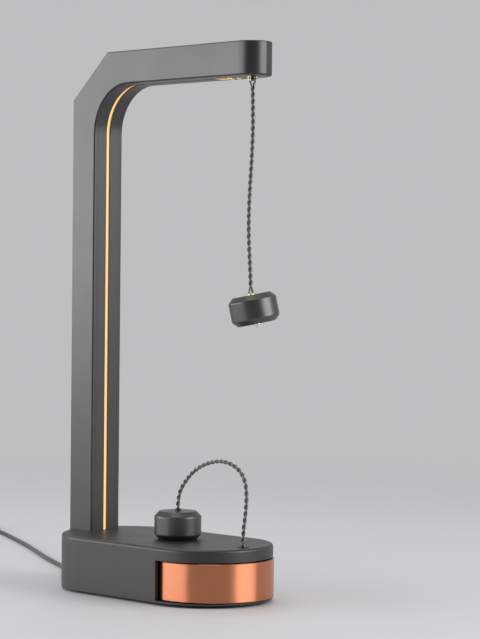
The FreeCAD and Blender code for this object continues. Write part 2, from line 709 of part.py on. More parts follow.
def light_strip(near, far, half_width, bottom, front_x, round_end=False):
    """A bar that follows the inner bend from bottom up the column and out along the arm to front_x."""
    reach = front_x + half_width if round_end else front_x
    near_low, near_middle, near_high = inner_line(near)
    far_low, far_middle, far_high = inner_line(far)
    near_foot = vec(COLUMN_FRONT - near, 0, bottom)
    near_end = vec(reach, 0, ARM_UNDERSIDE + near)
    far_end = vec(reach, 0, ARM_UNDERSIDE + far)
    far_foot = vec(COLUMN_FRONT - far, 0, bottom)
    edges = [
        Part.LineSegment(near_foot, near_low),
        Part.Arc(near_low, near_middle, near_high),
        Part.LineSegment(near_high, near_end),
        Part.LineSegment(near_end, far_end),
        Part.LineSegment(far_end, far_high),
        Part.Arc(far_high, far_middle, far_low),
        Part.LineSegment(far_low, far_foot),
        Part.LineSegment(far_foot, near_foot),
    ]
    face = Part.Face(Part.Wire([edge.toShape() for edge in edges]))
    face.translate(vec(0, -half_width, 0))
    bar = face.extrude(vec(0, 2 * half_width, 0))
    if round_end:
        bar = bar.common(plan_limit(front_x, half_width, True))
    return bar


def frame_block():
    """The column and arm as one solid bar: bent inside, chamfered outside, round at the arm's end."""
    low, middle, high = inner_line(0)
    corners = [
        vec(TIP_X, 0, ARM_UNDERSIDE),
        vec(TIP_X, 0, OVERALL_HEIGHT),
        vec(REAR_X + CHAMFER_REACH, 0, OVERALL_HEIGHT),
        vec(REAR_X, 0, OVERALL_HEIGHT - CHAMFER_DROP),
        vec(REAR_X, 0, BASE_TOP),
        vec(COLUMN_FRONT, 0, BASE_TOP),
    ]
    edges = [Part.Arc(low, middle, high).toShape(), Part.makeLine(high, corners[0])]
    edges += [Part.makeLine(a, b) for a, b in zip(corners, corners[1:])]
    edges.append(Part.makeLine(corners[-1], low))
    face = Part.Face(Part.Wire(edges))
    face.translate(vec(0, -HALF_WIDTH, 0))
    bar = face.extrude(vec(0, COLUMN_WIDTH, 0))
    return bar.common(plan_limit(ARM_END_CENTRE, HALF_WIDTH, True))


def runs_along(edge):
    """True for an edge on the bar's outline, and not for one that only crosses its width."""
    box = edge.BoundBox
    crosses = box.XLength < SAME and box.ZLength < SAME
    at_foot = box.ZMax < BASE_TOP + SAME
    return not crosses and not at_foot


def on_inner_line(edge):
    """True for an edge of the column's front, the bend or the arm's underside."""
    if not runs_along(edge):
        return False
    middle = edge.valueAt((edge.FirstParameter + edge.LastParameter) / 2)
    bend_x = COLUMN_FRONT + BEND_RADIUS
    bend_z = ARM_UNDERSIDE - BEND_RADIUS
    if middle.x < bend_x and middle.z > bend_z:
        return abs(math.hypot(middle.x - bend_x, middle.z - bend_z) - BEND_RADIUS) < SAME
    if edge.BoundBox.ZLength < SAME:
        return abs(middle.z - ARM_UNDERSIDE) < SAME
    return abs(middle.x - COLUMN_FRONT) < SAME and edge.BoundBox.XLength < SAME


def on_outer_line(edge):
    """True for an edge of the column's back, the chamfer or the arm's top."""
    if not runs_along(edge):
        return False
    box = edge.BoundBox
    middle = edge.valueAt((edge.FirstParameter + edge.LastParameter) / 2)
    if box.ZLength < SAME:
        return abs(middle.z - OVERALL_HEIGHT) < SAME
    if box.XLength < SAME:
        return abs(middle.x - REAR_X) < SAME
    slant = abs(box.XLength - CHAMFER_REACH) < SAME
    return slant and abs(box.ZLength - CHAMFER_DROP) < SAME


def column_frame():
    """The bar with its edges softened, a channel for the light and a deeper one for the wiring."""
    bar = frame_block()
    bar = soften(bar, FRONT_EDGE_ROUNDING, on_inner_line)
    bar = soften(bar, REAR_EDGE_ROUNDING, on_outer_line)
    solid_from = TIP_X - ARM_SOLID_LENGTH
    half = CAVITY_HALF_WIDTH
    insert_bay = light_strip(-CUT, INSERT_THICKNESS, half, 0, ARM_END_CENTRE, True)
    light_bay = light_strip(-CUT, LIGHT_CAVITY_DEPTH, half, 0, solid_from)
    wire_bay = light_strip(-CUT, CAVITY_DEPTH, half, BASE_TOP + COLUMN_FOOT_HEIGHT, solid_from)
    bar = bar.cut(insert_bay).cut(light_bay).cut(wire_bay)
    holes = [
        screw_hole(M4_SCREW, x, y, 0, BASE_TOP + SCREW_BITE) for x, y in column_screw_places()
    ]
    holes.append(rod(WIRE_HOLE_RADIUS, 0, BASE_TOP + COLUMN_FOOT_HEIGHT + CUT, WIRE_HOLE_X))
    above = ARM_UNDERSIDE + INSERT_THICKNESS
    for setback in ARM_SCREW_SETBACKS:
        holes.append(screw_hole(BRASS_SCREW, TIP_X - setback, 0, above - CUT, above + STUD_BITE))
    for x, y in both_sides(CORD_X, STUD_Y):
        holes.append(rod(STUD_RADIUS, above - CUT, above + STUD_BITE, x, y))
    holes.append(rod(BUSH_RADIUS, above - CUT, ARM_UNDERSIDE + BUSH_HEIGHT, CORD_X))
    return bar.cut(together(holes))


def channel_insert():
    """The cover let into the frame's front, with the long slot that the light shines through."""
    half = CAVITY_HALF_WIDTH - INSERT_GAP
    cover = light_strip(0, INSERT_THICKNESS, half, BASE_TOP, ARM_END_CENTRE, True)
    light_end = TIP_X - LIGHT_END_SETBACK
    slot = light_strip(-CUT, INSERT_THICKNESS + CUT, LIGHT_SLOT_WIDTH / 2, 0, light_end)
    bottom = ARM_UNDERSIDE - CUT
    top = ARM_UNDERSIDE + INSERT_THICKNESS + CUT
    holes = [slot]
    for setback in ARM_SCREW_SETBACKS:
        holes.append(screw_hole(BRASS_SCREW, TIP_X - setback, 0, bottom, top))
    for x, y in both_sides(CORD_X, STUD_Y):
        holes.append(rod(STUD_RADIUS, bottom, top, x, y))
    holes.append(rod(BUSH_RADIUS, bottom, top, CORD_X))
    return cover.cut(together(holes))


def light_diffuser():
    """Milky bar with a lip in the slot and a wider flange behind the insert."""
    bottom = BASE_TOP + LIGHT_BOTTOM_GAP
    end = TIP_X - LIGHT_END_SETBACK - DIFFUSER_GAP
    lip_half = LIGHT_SLOT_WIDTH / 2 - DIFFUSER_GAP
    lip = light_strip(DIFFUSER_RECESS, INSERT_THICKNESS, lip_half, bottom, end)
    flange_far = INSERT_THICKNESS + DIFFUSER_FLANGE
    flange_half = DIFFUSER_FLANGE_WIDTH / 2
    flange = light_strip(INSERT_THICKNESS, flange_far, flange_half, bottom, flange_end())
    return join([lip, flange])


def flange_end():
    """The light bar and its board stop short of the arm's solid end."""
    return TIP_X - ARM_SOLID_LENGTH - LIGHT_BOTTOM_GAP


def led_places():
    """Places of the light chips as (point on the inner line, turn about Y in degrees)."""
    straight = ARM_UNDERSIDE - BEND_RADIUS - BASE_TOP
    bend = math.pi / 2 * BEND_RADIUS
    level = flange_end() - COLUMN_FRONT - BEND_RADIUS
    centre = vec(COLUMN_FRONT + BEND_RADIUS, 0, ARM_UNDERSIDE - BEND_RADIUS)
    places = []
    along = LED_PITCH / 2
    while along < straight + bend + level - LED_CHIP_SIZE:
        if along < straight:
            places.append((vec(COLUMN_FRONT, 0, BASE_TOP + along), 0.0))
        elif along < straight + bend:
            turn = (along - straight) / BEND_RADIUS
            x = centre.x - BEND_RADIUS * math.cos(turn)
            z = centre.z + BEND_RADIUS * math.sin(turn)
            places.append((vec(x, 0, z), math.degrees(turn)))
        else:
            places.append((vec(centre.x + along - straight - bend, 0, ARM_UNDERSIDE), 90.0))
        along += LED_PITCH
    return places


def led_strip():
    """Flexible board with its row of chips, which face the diffuser."""
    chip_top = INSERT_THICKNESS + DIFFUSER_FLANGE
    board_top = chip_top + LED_CHIP_HEIGHT
    bottom = BASE_TOP + LIGHT_BOTTOM_GAP
    board = light_strip(board_top, board_top + LED_BOARD, LED_WIDTH / 2, bottom, flange_end())
    chips = []
    half = LED_CHIP_SIZE / 2
    for place, turn in led_places():
        chip = block(-board_top - LED_BOARD / 2, -chip_top, -half, half, -half, half)
        chip.rotate(vec(0, 0, 0), vec(0, 1, 0), turn)
        chip.translate(place)
        chips.append(chip)
    return join([board] + chips)


def insert_screws():
    """Two small brass screws on the arm's underside."""
    screws = []
    for setback in ARM_SCREW_SETBACKS:
        x = TIP_X - setback
        screws.append(screw(BRASS_SCREW, x, 0, ARM_UNDERSIDE, INSERT_THICKNESS + STUD_BITE))
    return together(screws)


def column_screws():
    places = column_screw_places()
    bite = BASE_ROOF + SCREW_BITE
    return together([screw(M4_SCREW, x, y, ROOF_BOTTOM, bite) for x, y in places])


def cord_studs():
    """Two brass studs, one on each side of the cord, that stand out below the arm."""
    studs = []
    top = ARM_UNDERSIDE + INSERT_THICKNESS + STUD_BITE
    for x, y in both_sides(CORD_X, STUD_Y):
        stud = rod(STUD_RADIUS, ARM_UNDERSIDE - STUD_DROP, top, x, y)
        tip = [edge for edge in stud.Edges if flat_at(edge, ARM_UNDERSIDE - STUD_DROP)]
        studs.append(stud.makeFillet(STUD_RADIUS / 3, tip))
    return together(studs)


def cord_bush():
    return rod(BUSH_RADIUS, ARM_UNDERSIDE - BUSH_SHOW, ARM_UNDERSIDE + BUSH_HEIGHT, CORD_X)


def swivel_bead():
    return Part.makeSphere(BEAD_RADIUS, vec(CORD_X, 0, PIVOT_Z))


def route_arcs(points):
    """The corner arcs of a route as (start, middle, end, radius), each as large as its runs allow."""
    arcs = []
    for before, corner, after in zip(points, points[1:], points[2:]):
        shorter = min((corner - before).Length, (after - corner).Length)
        way_in = (corner - before).normalize()
        way_out = (after - corner).normalize()
        half = way_in.getAngle(way_out) / 2
        setback = ARC_SHARE * shorter
        radius = setback / math.tan(half)
        inward = (way_out - way_in).normalize()
        middle = corner + inward * (radius / math.cos(half) - radius)
        arcs.append((corner - way_in * setback, middle, corner + way_out * setback, radius))
    return arcs


def route_path(points, first_run=None, last_run=None):
    """Edges of a route, or of the stretch between the middles of two of its runs."""
    arcs = route_arcs(points)
    start = points[0]
    first = 0
    if first_run is not None:
        start = (points[first_run] + points[first_run + 1]) * 0.5
        first = first_run
    end = points[-1]
    last = len(arcs)
    if last_run is not None:
        end = (points[last_run] + points[last_run + 1]) * 0.5
        last = last_run
    path = []
    here = start
    for arc_start, middle, arc_end, radius in arcs[first:last]:
        path.append(Part.LineSegment(here, arc_start).toShape())
        path.append(Part.Arc(arc_start, middle, arc_end).toShape())
        here = arc_end
    path.append(Part.LineSegment(here, end).toShape())
    return path


def cord_tube(name, path, radius):
    """The tube along a path, with its volume held against its section times its length."""
    solid = swept(path, radius)
    length = sum(edge.Length for edge in path)
    share = solid.Volume / (math.pi * radius * radius * length)
    print(name, "length", round(length, 1), "volume share", round(share, 4), "valid", solid.isValid())
    return solid


def print_radii(name, points):
    print(name, "radii", [round(arc[3], 1) for arc in route_arcs(points)])


def hanging_route():
    """Points of the hanging cord, from just under the bead to just above the weight's ball."""
    top = vec(CORD_X, 0, PIVOT_Z - BEAD_RADIUS - SWIVEL_GAP)
    middle = [vec(CORD_X + x, 0, PIVOT_Z + z) for x, z in HANGING_ROUTE]
    end = vec(CORD_X + HANGING_END[0], 0, PIVOT_Z + HANGING_END[1])
    return [top] + middle + [end]


def weight_pivot():
    """Where the hanging weight tilts, past the cord's lower end in the cord's own direction."""
    before, end = hanging_route()[-2:]
    return end + (end - before).normalize() * (BALL_RADIUS + SWIVEL_GAP)


def lower_route():
    """Points of the lower cord, from the plunger's neck to the lower weight's ferrule."""
    start = vec(HOLE_X, 0, NECK_TOP)
    middle = [vec(HOLE_X + x, 0, BASE_TOP + z) for x, z in LOWER_ROUTE]
    end = vec(HOLE_X + LOWER_WEIGHT_OFFSET, 0, WEIGHT_TOP + FERRULE_HEIGHT)
    return [start] + middle + [end]


def lower_stretch(number):
    """The lower cord's stretch 0 on the plunger, or one of the three that bend as the weight is lifted."""
    runs = [None, LEAD_LAST_RUN, *STRETCH_LAST_RUNS, None]
    return route_path(lower_route(), runs[number], runs[number + 1])


def stretch_hinges():
    """The turning points that carry each bending stretch from its arch to nearly upright."""
    points = lower_route()
    runs = [LEAD_LAST_RUN, *STRETCH_LAST_RUNS]
    ends = [(points[run] + points[run + 1]) * 0.5 for run in runs] + [points[-1]]
    hinges = []
    lean = 0.0
    for number, turn in enumerate(STRETCH_TURNS):
        start = ends[number]
        end = ends[number + 1]
        length = sum(edge.Length for edge in lower_stretch(number + 1))
        reach = vec(-math.sin(lean), 0, math.cos(lean)) * (STRETCH_SHORTENING * length)
        step = math.radians(turn)
        target = start + reach
        chord = target - end
        middle = (target + end) * 0.5
        across = vec(chord.z, 0, -chord.x)
        hinges.append(middle + across * (0.5 / math.tan(step / 2)))
        lean += step
    return hinges


def weight_shell(moved):
    """Matte can with chamfered edges, hollow from below for its magnet. Its top is at the origin."""
    bottom = -WEIGHT_HEIGHT
    outline = (
        (0, 0), (WEIGHT_RADIUS - WEIGHT_EDGE, 0), (WEIGHT_RADIUS, -WEIGHT_EDGE),
        (WEIGHT_RADIUS, bottom + WEIGHT_EDGE), (WEIGHT_RADIUS - WEIGHT_EDGE, bottom), (0, bottom),
    )
    can = revolved(outline)
    creases = [
        edge for edge in can.Edges
        if abs(edge.BoundBox.XLength - 2 * WEIGHT_RADIUS) < SAME and edge.BoundBox.ZLength < SAME
    ]
    can = can.makeFillet(WEIGHT_EDGE / 2, creases)
    can = can.cut(rod(POCKET_RADIUS, bottom - CUT, bottom + POCKET_DEPTH))
    return moved(can)


def weight_magnet(moved):
    bottom = -WEIGHT_HEIGHT + CAP_THICKNESS
    return moved(rod(POCKET_RADIUS - CAP_GAP, bottom, -WEIGHT_HEIGHT + POCKET_DEPTH))


def weight_cap(moved, hole_radius=0.0):
    """Disc that closes the can's mouth, flush with its rim."""
    bottom = -WEIGHT_HEIGHT
    disc = rod(POCKET_RADIUS - CAP_GAP, bottom, bottom + CAP_THICKNESS)
    if hole_radius:
        disc = disc.cut(rod(hole_radius, bottom - CUT, bottom + CAP_THICKNESS + CUT))
    return moved(disc)


def flat_ferrule(moved):
    collar = rod(COLLAR_RADIUS, 0, COLLAR_HEIGHT)
    return moved(join([collar, rod(FERRULE_RADIUS, 0, FERRULE_HEIGHT)]))


def ball_ferrule(moved):
    """Collar with a half ball on it that the cord's end turns over."""
    ball = Part.makeSphere(BALL_RADIUS, vec(0, 0, 0), UP, 0, 90, 360)
    return moved(join([ball, rod(COLLAR_RADIUS, 0, COLLAR_HEIGHT)]))


def dome_screw(moved):
    """Bright round head in the middle of the hanging weight's lower face."""
    bottom = -WEIGHT_HEIGHT
    sphere_radius = (DOME_SCREW_RADIUS**2 + DOME_SCREW_HEIGHT**2) / (2 * DOME_SCREW_HEIGHT)
    centre = vec(0, 0, bottom - DOME_SCREW_HEIGHT + sphere_radius)
    head = Part.makeSphere(sphere_radius, centre)
    head = head.common(rod(sphere_radius, bottom - sphere_radius, bottom))
    shank = rod(DOME_SCREW_SHANK, bottom - DOME_SCREW_HEIGHT / 2, bottom + CAP_THICKNESS)
    return moved(join([head, shank]))


def hang(solid):
    """Moves a piece of the upper weight to its tilted place on the cord."""
    solid.rotate(vec(0, 0, 0), vec(*HANGING_TILT_AXIS), HANGING_TILT)
    solid.translate(weight_pivot())
    return solid


def stand(solid):
    """Moves a piece of the lower weight to its place on the base."""
    solid.translate(vec(HOLE_X + LOWER_WEIGHT_OFFSET, 0, WEIGHT_TOP))
    return solid


def strain_relief():
    """Tapered sleeve on the rear wall, with a neck through it and a flange inside."""
    seat = BASE_REAR_CENTRE - math.sqrt(INNER_RADIUS**2 - RELIEF_FLANGE_RADIUS**2)
    root = vec(REAR_X, 0, LEAD_HEIGHT)
    inner_end = vec(seat + RELIEF_FLANGE, 0, LEAD_HEIGHT)
    back = vec(-1, 0, 0)
    cone = Part.makeCone(RELIEF_ROOT_RADIUS, RELIEF_TIP_RADIUS, RELIEF_LENGTH, root, back)
    neck = Part.makeCylinder(RELIEF_NECK_RADIUS, inner_end.x - REAR_X, inner_end, back)
    flange = Part.makeCylinder(RELIEF_FLANGE_RADIUS, RELIEF_FLANGE, inner_end, back)
    return join([cone, neck, flange])


def lead_route():
    tip = vec(REAR_X - RELIEF_LENGTH, 0, LEAD_HEIGHT)
    return [tip] + [vec(tip.x + x, y, z) for x, y, z in LEAD_ROUTE]


def lead_heading():
    """The level direction in which the lead reaches its coil."""
    before, end = lead_route()[-2:]
    return (end - before).normalize()


def coil_path():
    """Level half turns inward, a climbing half turn, then half turns outward on the second layer."""
    start = lead_route()[-1]
    way = lead_heading()
    left = UP.cross(way)
    here = start + way * (2 * LEAD_RADIUS)
    path = [Part.LineSegment(start, here).toShape()]
    layers = list(range(COIL_HALF_TURNS, 0, -1)) + [0] + list(range(1, COIL_HALF_TURNS + 1))
    for number, layer in enumerate(layers):
        radius = COIL_INNER_RADIUS + layer * COIL_PITCH / 2
        side = 1 if number % 2 == 0 else -1
        there = here + left * (2 * radius * side)
        if layer == 0:
            there = there + UP * COIL_PITCH
        path += half_turn(here, way * side, there)
        here = there
    end = here - way * (2 * LEAD_RADIUS)
    path.append(Part.LineSegment(here, end).toShape())
    return path, end, way * -1


def tail_route():
    """Points of the short run from the coil to the plug."""
    path, start, way = coil_path()
    left = UP.cross(way)
    offsets = [*TAIL_ROUTE, TAIL_END]
    return [start] + [start + way * along + left * side + UP * rise for along, side, rise in offsets]


def at_plug(solid):
    """Moves a plug piece from the origin, where it points along +X, to the tail's end."""
    before, end = tail_route()[-2:]
    way = end - before
    solid.rotate(vec(0, 0, 0), UP, math.degrees(math.atan2(way.y, way.x)))
    solid.translate(vec(end.x, end.y, PLUG_THICKNESS / 2))
    return solid


def plug_body():
    """Moulded grip with a tapered tail."""
    half_width = PLUG_WIDTH / 2
    half = PLUG_THICKNESS / 2
    start = PLUG_RELIEF_LENGTH
    grip = block(start, start + PLUG_LENGTH, -half_width, half_width, -half, half)
    grip = grip.makeFillet(PLUG_ROUNDING, grip.Edges)
    taper = Part.makeCone(RELIEF_TIP_RADIUS, RELIEF_ROOT_RADIUS, start + CUT, vec(0, 0, 0), vec(1, 0, 0))
    return at_plug(join([grip, taper]))


def plug_shell():
    """Pressed metal tube of the plug."""
    start = PLUG_RELIEF_LENGTH + PLUG_LENGTH
    half_width = SHELL_WIDTH / 2
    half = SHELL_THICKNESS / 2
    outer = block(start, start + SHELL_LENGTH, -half_width, half_width, -half, half)
    inner_width = half_width - SHELL_WALL
    inner_half = half - SHELL_WALL
    back = start + SHELL_WALL
    mouth = start + SHELL_LENGTH + CUT
    inner = block(back, mouth, -inner_width, inner_width, -inner_half, inner_half)
    return at_plug(outer.cut(inner))


def plug_tongue():
    """Contact carrier inside the plug's shell."""
    start = PLUG_RELIEF_LENGTH + PLUG_LENGTH + SHELL_WALL
    half_width = SHELL_WIDTH / 2 - SHELL_WALL
    half = SHELL_THICKNESS / 2 - SHELL_WALL
    end = start + SHELL_LENGTH - 2 * SHELL_WALL
    return at_plug(block(start, end, -half_width, half_width, half - TONGUE_THICKNESS, half))


def lamp():
    """Every node's solid by name."""
    nodes = {
        "base_housing": base_housing(),
        "base_bottom_cover": bottom_cover(),
        "bottom_cover_screws": cover_screws(),
        "rubber_feet": rubber_feet(),
        "ballast_plate": ballast_plate(),
        "ballast_screws": ballast_screws(),
        "dimmer_ring": dimmer_ring(),
        "dimmer_carrier": dimmer_carrier(),
        "potentiometer_shaft": potentiometer_shaft(),
        "dimmer_potentiometer": dimmer_potentiometer(),
        "control_board": control_board(),
        "board_screws": board_screws(),
        "cord_eyelet": cord_eyelet(),
        "pull_switch_guide": pull_switch_guide(),
        "guide_cap": guide_cap(),
        "pull_plunger": pull_plunger(),
        "pull_spring": pull_spring(),
        "microswitch_body": microswitch_body(),
        "microswitch_button": microswitch_button(),
        "column_frame": column_frame(),
        "channel_insert": channel_insert(),
        "light_diffuser": light_diffuser(),
        "led_strip": led_strip(),
        "insert_screws": insert_screws(),
        "column_screws": column_screws(),
        "cord_studs": cord_studs(),
        "cord_bush": cord_bush(),
        "swivel_bead": swivel_bead(),
        "upper_cord": cord_tube("upper cord", route_path(hanging_route()), CORD_RADIUS),
        "upper_weight_shell": weight_shell(hang),
        "upper_weight_magnet": weight_magnet(hang),
        "upper_weight_cap": weight_cap(hang, DOME_SCREW_SHANK),
        "upper_weight_ferrule": ball_ferrule(hang),
        "upper_weight_screw": dome_screw(hang),
        "lower_weight_shell": weight_shell(stand),
        "lower_weight_magnet": weight_magnet(stand),
        "lower_weight_cap": weight_cap(stand),
        "lower_weight_ferrule": flat_ferrule(stand),
        "power_strain_relief": strain_relief(),
        "power_cord": cord_tube("power lead", route_path(lead_route()), LEAD_RADIUS),
        "power_cord_tail": cord_tube("lead tail", route_path(tail_route()), LEAD_RADIUS),
        "power_plug_body": plug_body(),
        "power_plug_shell": plug_shell(),
        "power_plug_tongue": plug_tongue(),
    }
    for number in range(len(STRETCH_TURNS) + 1):
        name = "lower_cord_" + str(number)
        nodes[name] = cord_tube(name, lower_stretch(number), CORD_RADIUS)
    path, end, way = coil_path()
    nodes["power_cord_coil"] = cord_tube("lead coil", path, LEAD_RADIUS)
    print("coil gap", round(least_gap(path, LEAD_RADIUS, 2 * math.pi * COIL_INNER_RADIUS), 2))
    return nodes


def report_routes():
    print_radii("upper cord", hanging_route())
    print_radii("lower cord", lower_route())
    print_radii("power lead", lead_route())
    print_radii("lead tail", tail_route())
    print("weight pivot", weight_pivot())
    print("hinges", [(round(hinge.x, 3), round(hinge.z, 3)) for hinge in stretch_hinges()])


def middle_x(nodes):
    """The middle of the lamp from its back to its hanging weight, without the cords and the plug."""
    box = FreeCAD.BoundBox()
    for name, solid in nodes.items():
        if not name.startswith(("upper_cord", "lower_cord", "power")):
            box.add(solid.optimalBoundingBox(False))
    print("middle", round(box.Center.x, 4), "box", box)
    return box.Center.x


os.makedirs("parts", exist_ok=True)
lamp_nodes = lamp()
lamp_middle = middle_x(lamp_nodes)
for name, solid in lamp_nodes.items():
    solid.translate(vec(-lamp_middle, 0, 0))
    solid.exportStep("parts/" + name + ".step")
report_routes()
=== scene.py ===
import json
import math

import bmesh
import bpy
from mathutils import Matrix, Vector


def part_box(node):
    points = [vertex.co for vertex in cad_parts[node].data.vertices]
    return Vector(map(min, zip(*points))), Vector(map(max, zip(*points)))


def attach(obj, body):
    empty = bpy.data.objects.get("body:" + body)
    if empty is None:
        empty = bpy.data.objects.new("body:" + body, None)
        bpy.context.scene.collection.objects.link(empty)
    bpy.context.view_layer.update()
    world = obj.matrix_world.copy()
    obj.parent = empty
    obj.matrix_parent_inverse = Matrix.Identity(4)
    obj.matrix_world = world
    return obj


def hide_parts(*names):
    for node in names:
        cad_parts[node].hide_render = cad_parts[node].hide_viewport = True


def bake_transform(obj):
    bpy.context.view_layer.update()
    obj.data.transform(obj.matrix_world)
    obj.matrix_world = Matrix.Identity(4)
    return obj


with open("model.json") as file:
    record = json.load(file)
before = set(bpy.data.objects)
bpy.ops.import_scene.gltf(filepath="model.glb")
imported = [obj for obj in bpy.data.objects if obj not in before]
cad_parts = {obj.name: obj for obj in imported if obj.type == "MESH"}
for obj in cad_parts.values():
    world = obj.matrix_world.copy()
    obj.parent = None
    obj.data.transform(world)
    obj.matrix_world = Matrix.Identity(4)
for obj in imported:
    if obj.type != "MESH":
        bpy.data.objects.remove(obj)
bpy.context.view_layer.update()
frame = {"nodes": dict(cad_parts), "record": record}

# Lengths of the lamp are in millimetres until place() or MM turns them into the frame's metres.
# Places along X are from the middle of the arm's reach, as in the part's source.
MM = 0.001
nodes = frame["nodes"]
arm_low, arm_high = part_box("column_frame")
MIDDLE = (arm_low.x + arm_high.x) / 2
REAR_X = (arm_low.x - MIDDLE) / MM

# Camera, fitted to the photograph: its place, its direction of view and its roll in degrees
CAMERA_PLACE = (1106.1, -1053.4, 211.0)
CAMERA_VIEW = Vector((-0.70319, 0.71075, -0.01893))
CAMERA_ROLL = -0.57
SENSOR = 36.0
FOCAL_PIXELS = 2313.1
FRAME_WIDTH_PIXELS = 480
CLIP_END = 50.0

# The camera's side of the lamp, as a level direction and as an angle round it in degrees
TOWARDS_CAMERA = (0.703, -0.711, 0.0)
CAMERA_AZIMUTH = 44.7

# Curves: steps that Blender makes between control points
CURVE_STEPS = 10

# Twisted cord: two strands, each with its radius and its distance from the cord's middle
STRAND_RADIUS = 0.68
STRAND_OFFSET = 0.71
STRAND_PHASES = (math.pi / 2, math.pi * 3 / 2)
STRAND_SIDES = 10
STRAND_STEPS = 18
TWIST_PITCH = 8.6

# Hanging cord: its route as (x, z), and how far its strands part at the studs and at the ball
UPPER_ROUTE = (
    (73.0, 336.3), (74.0, 312.0), (73.4, 290.0), (71.2, 262.0), (70.7, 238.0), (72.6, 216.0),
    (73.5, 200.1),
)
STUD_REACH = 2.2
STUD_PARTING = 4.6
BALL_REACH = 1.1
BALL_PARTING = 3.2

# Lower cord: its route as (x, z), and where its first bend begins and its stretches meet
LOWER_ROUTE = (
    (68.5, 30.0), (68.5, 46.0), (70.7, 58.0), (71.7, 71.0), (69.6, 81.6), (61.8, 88.6),
    (49.5, 91.6), (36.0, 89.4), (24.2, 84.2), (14.8, 76.0), (8.2, 66.4), (8.2, 57.3),
)
LOWER_SPLITS = ((71.2, 64.5), (65.7, 85.1), (30.1, 86.8))

# Power lead: its route from the strain relief's tip, its coil, and its tail to the plug
LEAD_DIAMETER = 3.0
LEAD_ROUNDNESS = 4
RELIEF_LENGTH = 18.0
LEAD_ROUTE = (
    (0.0, 0.0, 8.5), (-5.5, 0.8, 8.3), (-11.5, 6.6, 6.6), (-19.0, 15.6, 3.9), (-29.0, 24.5, 2.1),
    (-39.0, 31.5, 1.5), (-51.5, 39.0, 1.5), (-69.4, 47.9, 1.5), (-96.0, 62.3, 1.5),
    (-146.0, 91.4, 1.5), (-193.2, 116.6, 1.5), (-245.7, 143.0, 1.5), (-281.6, 160.3, 1.5),
)
COIL_HALF_TURNS = 7
COIL_INNER_RADIUS = 11.0
COIL_PITCH = 3.45
COIL_STEPS = 8
TAIL_ROUTE = ((9.0, 0.0, 0.0), (19.0, -1.4, -0.6), (30.0, -1.8, -0.95), (39.0, -1.0, -0.95))

# Small fittings: each profile is (radius, height), from the outer face inwards
TURNED_SIDES = 40
SCREW_HEAD = (
    (0.02, -1.15), (0.45, -1.08), (0.85, -0.85), (1.15, -0.50), (1.35, 0.0), (1.42, 0.9),
)
STUD_HEAD = (
    (0.02, -1.00), (0.40, -0.93), (0.75, -0.72), (1.00, -0.38), (1.14, 0.0), (1.16, 1.2),
)
WEIGHT_SCREW_HEAD = (
    (0.02, -3.5), (0.80, -3.4), (1.45, -3.05), (1.90, -2.5), (2.05, -1.9), (2.08, 0.2),
)
WEIGHT_LEAN = 12.0

# End of the light line (its glow also paints the strip's light on the groove's end wall): its size, how
# it sinks into the insert, and how fast it comes out and back
INSERT_THICKNESS = 2.4
LIGHT_END_GAP = 0.6
LIGHT_END_LENGTH = 12.5
LIGHT_END_WIDTH = 3.0
LIGHT_END_DROP = 0.7
LIGHT_END_SUNK = 0.5
LIGHT_END_SHOULDER = 0.7
LIGHT_END_FLAT = 0.8
LIGHT_END_RISE = 3
LIGHT_END_FALL = 12
LIGHT_END_STEPS = 24

# Tones of each finish, darkest and lightest
BASE_TONES = ((0.011, 0.011, 0.012), (0.014, 0.014, 0.015))
FRAME_TONES = ((0.011, 0.011, 0.012), (0.015, 0.015, 0.016))
WEIGHT_TONES = ((0.009, 0.009, 0.010), (0.012, 0.012, 0.013))
COVER_TONES = ((0.020, 0.020, 0.022), (0.026, 0.026, 0.028))
SWITCH_TONES = ((0.04, 0.04, 0.045), (0.05, 0.05, 0.055))
BUTTON_TONES = ((0.50, 0.05, 0.04), (0.58, 0.07, 0.05))
FOOT_TONES = ((0.018, 0.018, 0.020), (0.028, 0.028, 0.030))
LEAD_TONES = ((0.010, 0.010, 0.011), (0.014, 0.014, 0.015))
SLEEVE_TONES = ((0.008, 0.008, 0.009), (0.030, 0.030, 0.032))
COPPER_TONES = ((0.60, 0.22, 0.115), (0.67, 0.26, 0.145))
BRASS_TONES = ((0.85, 0.72, 0.42), (0.92, 0.82, 0.54))
STEEL_TONES = ((0.55, 0.55, 0.56), (0.65, 0.65, 0.66))
PALE_METAL_TONES = ((0.75, 0.75, 0.76), (0.82, 0.82, 0.83))
BLACK_METAL_TONES = ((0.06, 0.06, 0.06), (0.09, 0.09, 0.09))
CIRCUIT_TONES = ((0.02, 0.14, 0.06), (0.03, 0.20, 0.09))
LED_BOARD_TONES = ((0.80, 0.79, 0.75), (0.88, 0.87, 0.83))
FLOOR_TONES = ((0.59, 0.59, 0.60), (0.61, 0.61, 0.62))

# Texture of the finishes: noise scales per metre, changes of roughness, strengths of the relief,
# and its depths in millimetres
COAT_TONE_SCALE = 60.0
COAT_GLOSS_SCALE = 35.0
COAT_GLOSS_RANGE = (-0.04, 0.05)
COAT_BUMP = 0.12
COAT_DEPTH = 0.05
METAL_TONE_SCALE = 40.0
METAL_LINE_SCALE = 900.0
METAL_GLOSS_RANGE = (-0.03, 0.05)
METAL_DEPTH = 0.02
LINES_ROUND = (0.05, 0.05, 1.0)
LINES_UPRIGHT = (1.0, 1.0, 0.1)
BRUSH_ROTATION = 0.25
PLASTIC_TONE_SCALE = 80.0
PLASTIC_GRAIN_SCALE = 1200.0
PLASTIC_BUMP = 0.15
PLASTIC_DEPTH = 0.04
FINE_DETAIL = 2.0

# Weave of the cord's sleeve: yarns each way, and the length at which the wave texture repeats
YARNS = 6
BAND_PERIOD = 2 * math.pi / 10
WEAVE_BUMP = 0.5
WEAVE_DEPTH = 0.06

